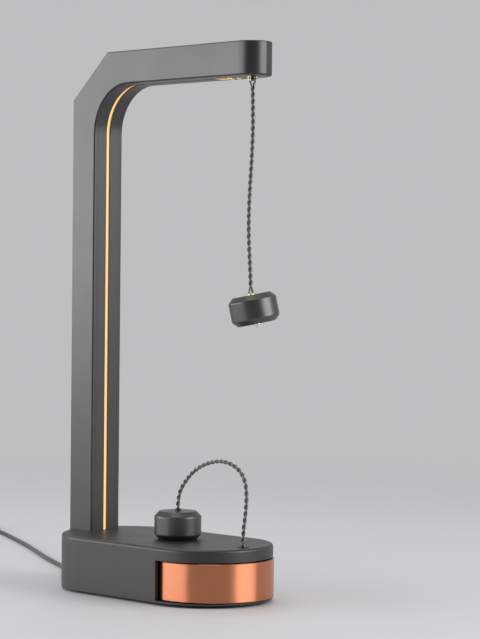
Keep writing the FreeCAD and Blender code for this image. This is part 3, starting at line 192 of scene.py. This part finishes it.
# Glow of the light line: full within the core, down to a share of it at the edge
DIFFUSER_BODY = (0.26, 0.18, 0.08)
GLOW_COLOUR = (1.0, 0.60, 0.21)
GLOW_STRENGTH = 0.95
GLOW_CORE = 0.55
GLOW_EDGE = 1.6
GLOW_EDGE_SHARE = 0.3
GLOW_SCALE = 120.0
GLOW_UNEVEN = (0.92, 1.08)

# Fittings that the photograph shows blackened
BLACKENED = ("lower_weight_ferrule", "cord_eyelet", "swivel_bead")

# Studio, with its lengths in metres
FLOOR_RADIUS = 2.6
FLOOR_SIDES = 96
FLOOR_SCALE = 3.0
FADE_START = 0.4
FADE_END = 1.25
BACKDROP_COLOUR = (0.52, 0.52, 0.53)
DIM_SIDE_COLOUR = (0.2, 0.2, 0.205)
DIM_SIDE_START = -0.5
DIM_SIDE_END = 0.6
LAMPS_AIM_HEIGHT = 0.18


def place(x, y, z):
    """A place on the lamp, in the frame's metres."""
    return Vector((MIDDLE + x * MM, y * MM, z * MM))


# Camera


def make_camera():
    """The photograph's camera."""
    data = bpy.data.cameras.new("camera")
    data.sensor_fit = "HORIZONTAL"
    data.sensor_width = SENSOR
    data.lens = SENSOR * FOCAL_PIXELS / FRAME_WIDTH_PIXELS
    data.clip_end = CLIP_END
    camera = bpy.data.objects.new("camera", data)
    bpy.context.scene.collection.objects.link(camera)
    view = CAMERA_VIEW.normalized()
    right = view.cross(Vector((0, 0, 1))).normalized()
    right = Matrix.Rotation(math.radians(CAMERA_ROLL), 3, view) @ right
    up = right.cross(view)
    turn = Matrix((right, up, -view)).transposed()
    camera.matrix_world = Matrix.Translation(place(*CAMERA_PLACE)) @ turn.to_4x4()
    bpy.context.scene.camera = camera


# Curves and meshes


def nurbs(name, points):
    """A smooth curve object with the points as its control points."""
    data = bpy.data.curves.new(name, "CURVE")
    data.dimensions = "3D"
    data.resolution_u = CURVE_STEPS
    spline = data.splines.new("NURBS")
    spline.points.add(len(points) - 1)
    for control, point in zip(spline.points, points):
        control.co = (*point, 1.0)
    spline.order_u = 3
    spline.use_endpoint_u = True
    curve = bpy.data.objects.new(name, data)
    bpy.context.scene.collection.objects.link(curve)
    return curve


def line_of(points):
    """Points read along the smooth curve that a route's points control."""
    curve = nurbs("route", points)
    mesh = bpy.data.meshes.new_from_object(curve)
    line = [vertex.co.copy() for vertex in mesh.vertices]
    data = curve.data
    bpy.data.objects.remove(curve)
    bpy.data.curves.remove(data)
    bpy.data.meshes.remove(mesh)
    return line


def lengths_along(line):
    """The length along a line at which each of its points lies."""
    along = [0.0]
    for here, there in zip(line, line[1:]):
        along.append(along[-1] + (there - here).length)
    return along


def at_length(line, along, wanted):
    """The point at a length along a line, and the line's direction there."""
    index = 1
    while index < len(line) - 1 and along[index] < wanted:
        index += 1
    share = (wanted - along[index - 1]) / max(along[index] - along[index - 1], 1e-9)
    before = line[max(index - 2, 0)]
    after = line[min(index + 1, len(line) - 1)]
    return line[index - 1].lerp(line[index], share), (after - before).normalized()


def nearest_length(line, along, target):
    """The length along a line at which it comes nearest to a place."""
    index = min(range(len(line)), key=lambda n: (line[n] - target).length)
    return along[index]


def ease(share):
    """Smooth step from 0 to 1."""
    share = min(max(share, 0.0), 1.0)
    return share * share * (3 - 2 * share)


def skin(bm, rings):
    """Faces between each ring of points and the next, in bands, and one face over each end."""
    bands = []
    for lower, upper in zip(rings, rings[1:]):
        band = []
        for side in range(len(lower)):
            onward = (side + 1) % len(lower)
            band.append(bm.faces.new((lower[side], lower[onward], upper[onward], upper[side])))
        bands.append(band)
    bm.faces.new(reversed(rings[0]))
    bm.faces.new(rings[-1])
    return bands


def mesh_object(name, bm, material):
    """A smooth-shaded piece made of a finished mesh."""
    mesh = bpy.data.meshes.new(name)
    bm.to_mesh(mesh)
    bm.free()
    for polygon in mesh.polygons:
        polygon.use_smooth = True
    mesh.materials.append(material)
    piece = bpy.data.objects.new(name, mesh)
    bpy.context.scene.collection.objects.link(piece)
    return piece


def add_tube(bm, points, radius, sides):
    """A round closed tube through points, with its weave's coordinates in a UV map."""
    uv = bm.loops.layers.uv.verify()
    along = [length / (2 * math.pi * radius) for length in lengths_along(points)]
    rings = []
    normal = None
    for number, point in enumerate(points):
        before = points[max(number - 1, 0)]
        after = points[min(number + 1, len(points) - 1)]
        way = (after - before).normalized()
        if normal is None:
            normal = way.orthogonal()
        normal = (normal - way * normal.dot(way)).normalized()
        across = way.cross(normal)
        ring = []
        for side in range(sides):
            angle = 2 * math.pi * side / sides
            offset = normal * math.cos(angle) + across * math.sin(angle)
            ring.append(bm.verts.new(point + offset * radius))
        rings.append(ring)
    for number, band in enumerate(skin(bm, rings)):
        for side, face in enumerate(band):
            corners = ((side, number), (side + 1, number), (side + 1, number + 1), (side, number + 1))
            for loop, (around, ring) in zip(face.loops, corners):
                loop[uv].uv = (around / sides, along[ring])


# Cords


def no_parting(here):
    """Strands that lie side by side all the way."""
    return 0.0


def even_twist(here):
    """Angle that the strands have turned by at a length in millimetres."""
    return 2 * math.pi * here / TWIST_PITCH


def strand_points(line, along, start, end, phase, parting, twist):
    """Points of one strand of the twisted pair between two lengths along the cord's line."""
    count = round((end - start) / (TWIST_PITCH * MM) * STRAND_STEPS)
    side = Vector((0, 1, 0))
    points = []
    for number in range(count + 1):
        length = start + (end - start) * number / count
        centre, way = at_length(line, along, length)
        normal = side.cross(way).normalized()
        angle = phase + twist(length / MM)
        offset = (STRAND_OFFSET + parting(length / MM)) * MM
        points.append(centre + (normal * math.cos(angle) + side * math.sin(angle)) * offset)
    return points


def twisted_cord(name, line, start, end, material, parting=no_parting, twist=even_twist):
    """Two round strands twisted about a cord's line from one length along it to another."""
    along = lengths_along(line)
    bm = bmesh.new()
    for phase in STRAND_PHASES:
        points = strand_points(line, along, start, end, phase, parting, twist)
        add_tube(bm, points, STRAND_RADIUS * MM, STRAND_SIDES)
    return mesh_object(name, bm, material)


def make_hanging_cord(material):
    """The strands part at the top towards the two studs, and below round the ball of the weight."""
    line = line_of([place(x, 0, z) for x, z in UPPER_ROUTE])
    along = lengths_along(line)
    length = along[-1] / MM
    twisted = length - STUD_PARTING - BALL_PARTING
    half_turns = round(2 * twisted / TWIST_PITCH)

    def parting(here):
        to_studs = STUD_REACH * max(1 - here / STUD_PARTING, 0.0)
        round_ball = BALL_REACH * max(1 - (length - here) / BALL_PARTING, 0.0)
        return to_studs + round_ball

    def twist(here):
        return math.pi * half_turns * min(max((here - STUD_PARTING) / twisted, 0.0), 1.0)

    cord = twisted_cord("hanging_cord_strands", line, 0.0, along[-1], material, parting, twist)
    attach(cord, "hanging_cord")
    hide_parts("upper_cord")


def make_lower_cord(material):
    """Three stretches of one twisted cord, in place of the lower cord's parts."""
    line = line_of([place(x, 0, z) for x, z in LOWER_ROUTE])
    along = lengths_along(line)
    bend_start, first, second = [place(x, 0, z) for x, z in LOWER_SPLITS]
    cuts = [0.0, nearest_length(line, along, first), nearest_length(line, along, second), along[-1]]
    stretches = (
        ("lower_cord_rise", "pull_plunger", "cord_bend_1", bend_start, first,
         ("lower_cord_0", "lower_cord_1")),
        ("lower_cord_arch", "cord_bend_1", "cord_bend_2", first, second, ("lower_cord_2",)),
        ("lower_cord_fall", "cord_bend_2", "lower_weight", second, line[-1], ("lower_cord_3",)),
    )
    for number, (name, before, after, start, end, replaced) in enumerate(stretches):
        low = cuts[number]
        high = cuts[number + 1]
        cord = twisted_cord(name, line, low, high, material)
        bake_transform(cord)
        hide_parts(*replaced)


def coil_points(start, way):
    """Control points of the stored coil: half turns inward, one that climbs, half turns outward."""
    left = Vector((0, 0, 1)).cross(way)
    half_step = math.pi / COIL_STEPS / 2
    swell = 1 / math.cos(half_step) ** 2
    here = start + way * LEAD_DIAMETER
    points = [start, here]
    layers = [*range(COIL_HALF_TURNS, 0, -1), 0, *range(1, COIL_HALF_TURNS + 1)]
    for number, layer in enumerate(layers):
        radius = COIL_INNER_RADIUS + layer * COIL_PITCH / 2
        side = 1 if number % 2 == 0 else -1
        climb = COIL_PITCH if layer == 0 else 0.0
        centre = here + left * (radius * side)
        for step in range(COIL_STEPS):
            angle = math.pi * (step + 0.5) / COIL_STEPS
            across = left * (-side * math.cos(angle)) + way * (side * math.sin(angle))
            rise = Vector((0, 0, climb * angle / math.pi))
            points.append(centre + across * (radius * swell) + rise)
        here = here + left * (2 * radius * side) + Vector((0, 0, climb))
    return points, here - way * LEAD_DIAMETER


def lead_points():
    """Control points of the whole power lead: the way out, the stored coil and the tail."""
    tip = Vector((REAR_X - RELIEF_LENGTH, 0, 0))
    points = [tip + Vector(point) for point in LEAD_ROUTE]
    way = (points[-1] - points[-2]).normalized()
    coil, end = coil_points(points.pop(), way)
    points += coil + [end]
    back = -way
    left = Vector((0, 0, 1)).cross(back)
    for ahead, side, rise in TAIL_ROUTE:
        points.append(end + back * ahead + left * side + Vector((0, 0, rise)))
    return [place(*point) for point in points]


def make_power_lead(material):
    """One unbroken lead from its strain relief to its plug."""
    points = lead_points()
    length = lengths_along(line_of(points))[-1]
    lead = nurbs("power_lead", points)
    lead.data.bevel_depth = LEAD_DIAMETER * MM / 2
    lead.data.bevel_resolution = LEAD_ROUNDNESS
    lead.data.use_fill_caps = True
    lead.data.materials.append(material)
    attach(lead, "root")
    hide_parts("power_cord", "power_cord_coil", "power_cord_tail")


# Small fittings


def turned(name, profile, placings, material):
    """Round pieces turned to a profile, one at each placing."""
    bm = bmesh.new()
    for placing in placings:
        rings = []
        for radius, height in profile:
            ring = []
            for side in range(TURNED_SIDES):
                angle = 2 * math.pi * side / TURNED_SIDES
                point = Vector((radius * math.cos(angle), radius * math.sin(angle), height)) * MM
                ring.append(bm.verts.new(placing @ point))
            rings.append(ring)
        skin(bm, rings)
    bmesh.ops.recalc_face_normals(bm, faces=bm.faces)
    return mesh_object(name, bm, material)


def make_insert_screw_heads(material):
    """Domed heads over the flat heads of the insert's two screws."""
    low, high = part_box("insert_screws")
    reach = (high.y - low.y) / 2
    placings = [Matrix.Translation((x, 0, low.z)) for x in (low.x + reach, high.x - reach)]
    heads = turned("insert_screw_heads", SCREW_HEAD, placings, material)
    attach(heads, "root")


def make_stud_heads(material):
    """Domed ends of the two studs that the hanging cord's strands come from."""
    low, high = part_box("cord_studs")
    reach = (high.x - low.x) / 2
    sides = (low.y + reach, high.y - reach)
    placings = [Matrix.Translation((low.x + reach, y, low.z)) for y in sides]
    heads = turned("cord_stud_heads", STUD_HEAD, placings, material)
    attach(heads, "root")


def make_weight_screw_head(material):
    """The bright domed head in the middle of the hanging weight's underside."""
    low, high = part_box("upper_weight_screw")
    middle = (low + high) / 2
    lean = Matrix.Rotation(math.radians(WEIGHT_LEAN), 4, Vector(TOWARDS_CAMERA))
    placing = Matrix.Translation(middle) @ lean
    head = turned("weight_screw_head", WEIGHT_SCREW_HEAD, [placing], material)
    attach(head, "upper_weight")


def light_end_outline(share):
    """The light end's outline across the arm, at a share of its length."""
    half = LIGHT_END_WIDTH / 2 * MM
    flat = half * LIGHT_END_FLAT
    top = LIGHT_END_SUNK * MM
    drop = LIGHT_END_DROP * MM * ease(share * LIGHT_END_RISE) * ease((1 - share) * LIGHT_END_FALL)
    shoulder = drop * LIGHT_END_SHOULDER
    return (
        (-half, top), (-half, -shoulder), (-flat, -drop), (flat, -drop), (half, -shoulder), (half, top),
    )


def make_light_end(material):
    """Milky end of the light line, which stands a little proud of the arm's underside; its glow is the
    line's own and also paints the strip's light on the groove's end wall.
    """
    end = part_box("light_diffuser")[1].x - LIGHT_END_GAP * MM
    start = end - LIGHT_END_LENGTH * MM
    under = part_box("channel_insert")[1].z - INSERT_THICKNESS * MM
    bm = bmesh.new()
    rings = []
    for number in range(LIGHT_END_STEPS + 1):
        share = number / LIGHT_END_STEPS
        x = start + (end - start) * share
        rings.append([bm.verts.new((x, y, under + z)) for y, z in light_end_outline(share)])
    skin(bm, rings)
    bmesh.ops.recalc_face_normals(bm, faces=bm.faces)
    # Painted light: this glowing piece also stands for the strip's light falling on the groove's end wall
    piece = mesh_object("light_line_end", bm, material)
    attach(piece, "root")


# Parts of a material


def shader(name, roughness, metallic=0.0, ior=1.5):
    """A material with one Principled shader, and its node tree."""
    material = bpy.data.materials.new(name)
    material.use_nodes = True
    tree = material.node_tree
    surface = tree.nodes["Principled BSDF"]
    surface.inputs["Roughness"].default_value = roughness
    surface.inputs["Metallic"].default_value = metallic
    surface.inputs["IOR"].default_value = ior
    return material, tree, surface


def noise(tree, scale, detail=3.0, stretch=(1.0, 1.0, 1.0)):
    """Noise in the frame's own metres, so that it stays put on every piece."""
    where = tree.nodes.new("ShaderNodeTexCoord")
    mapping = tree.nodes.new("ShaderNodeMapping")
    mapping.inputs["Scale"].default_value = stretch
    texture = tree.nodes.new("ShaderNodeTexNoise")
    texture.inputs["Scale"].default_value = scale
    texture.inputs["Detail"].default_value = detail
    tree.links.new(where.outputs["Object"], mapping.inputs["Vector"])
    tree.links.new(mapping.outputs["Vector"], texture.inputs["Vector"])
    return texture.outputs["Fac"]


def spread(tree, value, low, high):
    """A value from 0 to 1 brought to the range from low to high."""
    node = tree.nodes.new("ShaderNodeMapRange")
    node.inputs["To Min"].default_value = low
    node.inputs["To Max"].default_value = high
    tree.links.new(value, node.inputs["Value"])
    return node.outputs["Result"]


def smooth_fade(tree, value, start, end, before, after):
    """A smooth change from one number to another as a value goes from start to end."""
    node = tree.nodes.new("ShaderNodeMapRange")
    node.interpolation_type = "SMOOTHSTEP"
    node.inputs["From Min"].default_value = start
    node.inputs["From Max"].default_value = end
    node.inputs["To Min"].default_value = before
    node.inputs["To Max"].default_value = after
    tree.links.new(value, node.inputs["Value"])
    return node.outputs["Result"]


def mixed(tree, value, first, second):
    """A colour between two, by a value from 0 to 1."""
    node = tree.nodes.new("ShaderNodeMix")
    node.data_type = "RGBA"
    node.inputs["A"].default_value = (*first, 1.0)
    node.inputs["B"].default_value = (*second, 1.0)
    tree.links.new(value, node.inputs["Factor"])
    return node.outputs["Result"]


def add_tint(tree, surface, value, tones):
    """The surface's colour, between two tones."""
    tree.links.new(mixed(tree, value, *tones), surface.inputs["Base Color"])


def add_gloss(tree, surface, value, roughness, change):
    """Roughness that varies about its plain level."""
    low, high = change
    gloss = spread(tree, value, roughness + low, roughness + high)
    tree.links.new(gloss, surface.inputs["Roughness"])


def add_bump(tree, surface, height, strength, depth):
    """Fine relief, with its depth in millimetres."""
    node = tree.nodes.new("ShaderNodeBump")
    node.inputs["Strength"].default_value = strength
    node.inputs["Distance"].default_value = depth * MM
    tree.links.new(height, node.inputs["Height"])
    tree.links.new(node.outputs["Normal"], surface.inputs["Normal"])


# Kinds of finish


def painted(name, tones, roughness, ior, grain):
    """Powder coat: a fine orange-peel grain, and a faint change of tone and gloss over the surface."""
    material, tree, surface = shader(name, roughness, ior=ior)
    add_tint(tree, surface, noise(tree, COAT_TONE_SCALE), tones)
    add_gloss(tree, surface, noise(tree, COAT_GLOSS_SCALE), roughness, COAT_GLOSS_RANGE)
    add_bump(tree, surface, noise(tree, grain, FINE_DETAIL), COAT_BUMP, COAT_DEPTH)
    return material


def brushed_round(tree, surface, amount):
    """Fine lines round the upright axis, which draw each reflection out up and down."""
    surface.inputs["Anisotropic"].default_value = amount
    surface.inputs["Anisotropic Rotation"].default_value = BRUSH_ROTATION
    tangent = tree.nodes.new("ShaderNodeTangent")
    tangent.direction_type = "RADIAL"
    tangent.axis = "Z"
    tree.links.new(tangent.outputs["Tangent"], surface.inputs["Tangent"])


def polished(name, tones, roughness, bump, stretch=LINES_UPRIGHT, brushed=0.0):
    """Turned or polished metal with faint lines along the way it was worked."""
    material, tree, surface = shader(name, roughness, metallic=1.0)
    if brushed:
        brushed_round(tree, surface, brushed)
    add_tint(tree, surface, noise(tree, METAL_TONE_SCALE), tones)
    lines = noise(tree, METAL_LINE_SCALE, FINE_DETAIL, stretch)
    add_gloss(tree, surface, lines, roughness, METAL_GLOSS_RANGE)
    add_bump(tree, surface, lines, bump, METAL_DEPTH)
    return material


def moulded(name, tones, roughness, grain=PLASTIC_GRAIN_SCALE, ior=1.5):
    """Plastic or rubber with a fine spark-eroded texture."""
    material, tree, surface = shader(name, roughness, ior=ior)
    add_tint(tree, surface, noise(tree, PLASTIC_TONE_SCALE), tones)
    add_bump(tree, surface, noise(tree, grain, FINE_DETAIL), PLASTIC_BUMP, PLASTIC_DEPTH)
    return material


def lit(name):
    """Milky plastic that glows: strongest along its middle, a little uneven from chip to chip."""
    material, tree, surface = shader(name, roughness=0.35)
    surface.inputs["Base Color"].default_value = (*DIFFUSER_BODY, 1.0)
    surface.inputs["Emission Color"].default_value = (*GLOW_COLOUR, 1.0)
    where = tree.nodes.new("ShaderNodeTexCoord")
    split = tree.nodes.new("ShaderNodeSeparateXYZ")
    tree.links.new(where.outputs["Object"], split.inputs["Vector"])
    aside = tree.nodes.new("ShaderNodeMath")
    aside.operation = "ABSOLUTE"
    tree.links.new(split.outputs["Y"], aside.inputs[0])
    faint = GLOW_STRENGTH * GLOW_EDGE_SHARE
    glow = smooth_fade(tree, aside.outputs["Value"], GLOW_CORE * MM, GLOW_EDGE * MM, GLOW_STRENGTH, faint)
    uneven = tree.nodes.new("ShaderNodeMath")
    uneven.operation = "MULTIPLY"
    tree.links.new(glow, uneven.inputs[0])
    tree.links.new(spread(tree, noise(tree, GLOW_SCALE, 1.0), *GLOW_UNEVEN), uneven.inputs[1])
    tree.links.new(uneven.outputs["Value"], surface.inputs["Emission Strength"])
    return material


def weave_bands(tree, across):
    """Bands that run round a strand one way, as one set of the sleeve's yarns does."""
    where = tree.nodes.new("ShaderNodeTexCoord")
    mapping = tree.nodes.new("ShaderNodeMapping")
    mapping.inputs["Scale"].default_value = (across * BAND_PERIOD, YARNS * BAND_PERIOD, 0.0)
    bands = tree.nodes.new("ShaderNodeTexWave")
    bands.wave_type = "BANDS"
    bands.bands_direction = "DIAGONAL"
    bands.inputs["Scale"].default_value = 1.0
    tree.links.new(where.outputs["UV"], mapping.inputs["Vector"])
    tree.links.new(mapping.outputs["Vector"], bands.inputs["Vector"])
    return bands.outputs["Fac"]


def braided(name, tones):
    """Braided nylon sleeve: two sets of yarns that cross, with a soft sheen."""
    material, tree, surface = shader(name, roughness=0.42, ior=2.2)
    surface.inputs["Sheen Weight"].default_value = 0.15
    surface.inputs["Sheen Roughness"].default_value = 0.35
    braid = tree.nodes.new("ShaderNodeMath")
    braid.operation = "MAXIMUM"
    tree.links.new(weave_bands(tree, YARNS), braid.inputs[0])
    tree.links.new(weave_bands(tree, -YARNS), braid.inputs[1])
    add_tint(tree, surface, braid.outputs["Value"], tones)
    add_bump(tree, surface, braid.outputs["Value"], WEAVE_BUMP, WEAVE_DEPTH)
    return material


# Finishes of the lamp


def make_materials():
    """A material for each of the record's slots, and blackened metal."""
    return {
        "base_black": painted("base_coat", BASE_TONES, roughness=0.42, ior=1.62, grain=1500.0),
        "frame_black": painted("frame_coat", FRAME_TONES, roughness=0.36, ior=1.66, grain=1500.0),
        "weight_black": painted("weight_coat", WEIGHT_TONES, roughness=0.36, ior=1.85, grain=1800.0),
        "cover_plastic": moulded("cover_plastic", COVER_TONES, roughness=0.5),
        "switch_plastic": moulded("switch_plastic", SWITCH_TONES, roughness=0.5),
        "button_red": moulded("button_red", BUTTON_TONES, roughness=0.35),
        "rubber_black": moulded("foot_rubber", FOOT_TONES, roughness=0.8, grain=700.0),
        "lead_rubber": moulded("lead_rubber", LEAD_TONES, roughness=0.28, ior=1.8),
        "copper": polished(
            "copper", COPPER_TONES, roughness=0.34, bump=0.05, stretch=LINES_ROUND, brushed=0.9,
        ),
        "brass": polished("brass", BRASS_TONES, roughness=0.42, bump=0.05),
        "steel": polished("steel", STEEL_TONES, roughness=0.32, bump=0.1),
        "pale_metal": polished("pale_metal", PALE_METAL_TONES, roughness=0.15, bump=0.03),
        "black_metal": polished("black_metal", BLACK_METAL_TONES, roughness=0.38, bump=0.05),
        "circuit_board": moulded("circuit_board", CIRCUIT_TONES, roughness=0.35),
        "led_board": moulded("led_board", LED_BOARD_TONES, roughness=0.5),
        "diffuser": lit("lit_diffuser"),
        "twisted_cord": braided("cord_sleeve", SLEEVE_TONES),
    }


def dress_nodes(materials):
    """Each node in its slot's finish, apart from the blackened fittings."""
    for part in frame["record"]["subparts"]:
        finish = "black_metal" if part["node"] in BLACKENED else part["material_slot"]
        node = nodes[part["node"]]
        node.data.materials.clear()
        node.data.materials.append(materials[finish])


# Floor, backdrop and light


def floor_material():
    """Pale matte floor that fades into the backdrop's colour far from the lamp."""
    material, tree, surface = shader("floor", roughness=0.6)
    add_tint(tree, surface, noise(tree, FLOOR_SCALE, FINE_DETAIL), FLOOR_TONES)
    where = tree.nodes.new("ShaderNodeTexCoord")
    distance = tree.nodes.new("ShaderNodeVectorMath")
    distance.operation = "LENGTH"
    tree.links.new(where.outputs["Object"], distance.inputs[0])
    fade = smooth_fade(tree, distance.outputs["Value"], FADE_START, FADE_END, 1.0, 0.0)
    tree.links.new(fade, surface.inputs["Alpha"])
    return material


def make_floor():
    """A round floor, centred under the lamp."""
    bm = bmesh.new()
    bmesh.ops.create_circle(
        bm, cap_ends=True, cap_tris=False, segments=FLOOR_SIDES, radius=FLOOR_RADIUS,
    )
    mesh = bpy.data.meshes.new("studio_floor")
    bm.to_mesh(mesh)
    bm.free()
    mesh.materials.append(floor_material())
    floor = bpy.data.objects.new("studio_floor", mesh)
    bpy.context.scene.collection.objects.link(floor)


def make_world():
    """Soft light of the pale backdrop's colour, dimmer from the side where the camera stands."""
    world = bpy.data.worlds.new("studio")
    bpy.context.scene.world = world
    world.use_nodes = True
    tree = world.node_tree
    where = tree.nodes.new("ShaderNodeTexCoord")
    facing = tree.nodes.new("ShaderNodeVectorMath")
    facing.operation = "DOT_PRODUCT"
    facing.inputs[1].default_value = TOWARDS_CAMERA
    tree.links.new(where.outputs["Generated"], facing.inputs[0])
    fade = smooth_fade(tree, facing.outputs["Value"], DIM_SIDE_START, DIM_SIDE_END, 0.0, 1.0)
    colour = mixed(tree, fade, BACKDROP_COLOUR, DIM_SIDE_COLOUR)
    tree.links.new(colour, tree.nodes["Background"].inputs["Color"])


def softbox(name, from_camera, centre_height, distance, width, height, radiance):
    """A rectangular lamp that faces the object, at an angle round it from the camera's side."""
    data = bpy.data.lights.new(name, "AREA")
    data.shape = "RECTANGLE"
    data.size = width
    data.size_y = height
    data.energy = radiance * math.pi * width * height
    lamp = bpy.data.objects.new(name, data)
    bpy.context.scene.collection.objects.link(lamp)
    turn = math.radians(CAMERA_AZIMUTH + from_camera)
    target = Vector((0, 0, LAMPS_AIM_HEIGHT))
    lamp.location = (distance * math.sin(turn), -distance * math.cos(turn), centre_height)
    lamp.rotation_mode = "QUATERNION"
    lamp.rotation_quaternion = (lamp.location - target).to_track_quat("Z", "Y")
    lamp.visible_camera = False


def make_lights():
    """Two low softboxes for the bright bands on the sides, one behind and one overhead."""
    softbox("left_softbox", -82, centre_height=0.36, distance=1.35, width=2.1, height=0.56, radiance=4.2)
    softbox("right_softbox", 66, centre_height=0.58, distance=1.3, width=0.98, height=0.9, radiance=5.0)
    softbox("back_softbox", 200, centre_height=1.3, distance=1.0, width=1.2, height=0.5, radiance=2.2)
    softbox("top_softbox", -20, centre_height=1.8, distance=0.45, width=1.4, height=1.4, radiance=1.2)


make_camera()
materials = make_materials()
make_power_lead(materials["lead_rubber"])
make_lower_cord(materials["twisted_cord"])
make_hanging_cord(materials["twisted_cord"])
make_insert_screw_heads(materials["brass"])
make_stud_heads(materials["brass"])
make_weight_screw_head(materials["pale_metal"])
make_light_end(materials["diffuser"])
dress_nodes(materials)
make_floor()
make_world()
make_lights()

bpy.context.scene.view_settings.view_transform = "Standard"
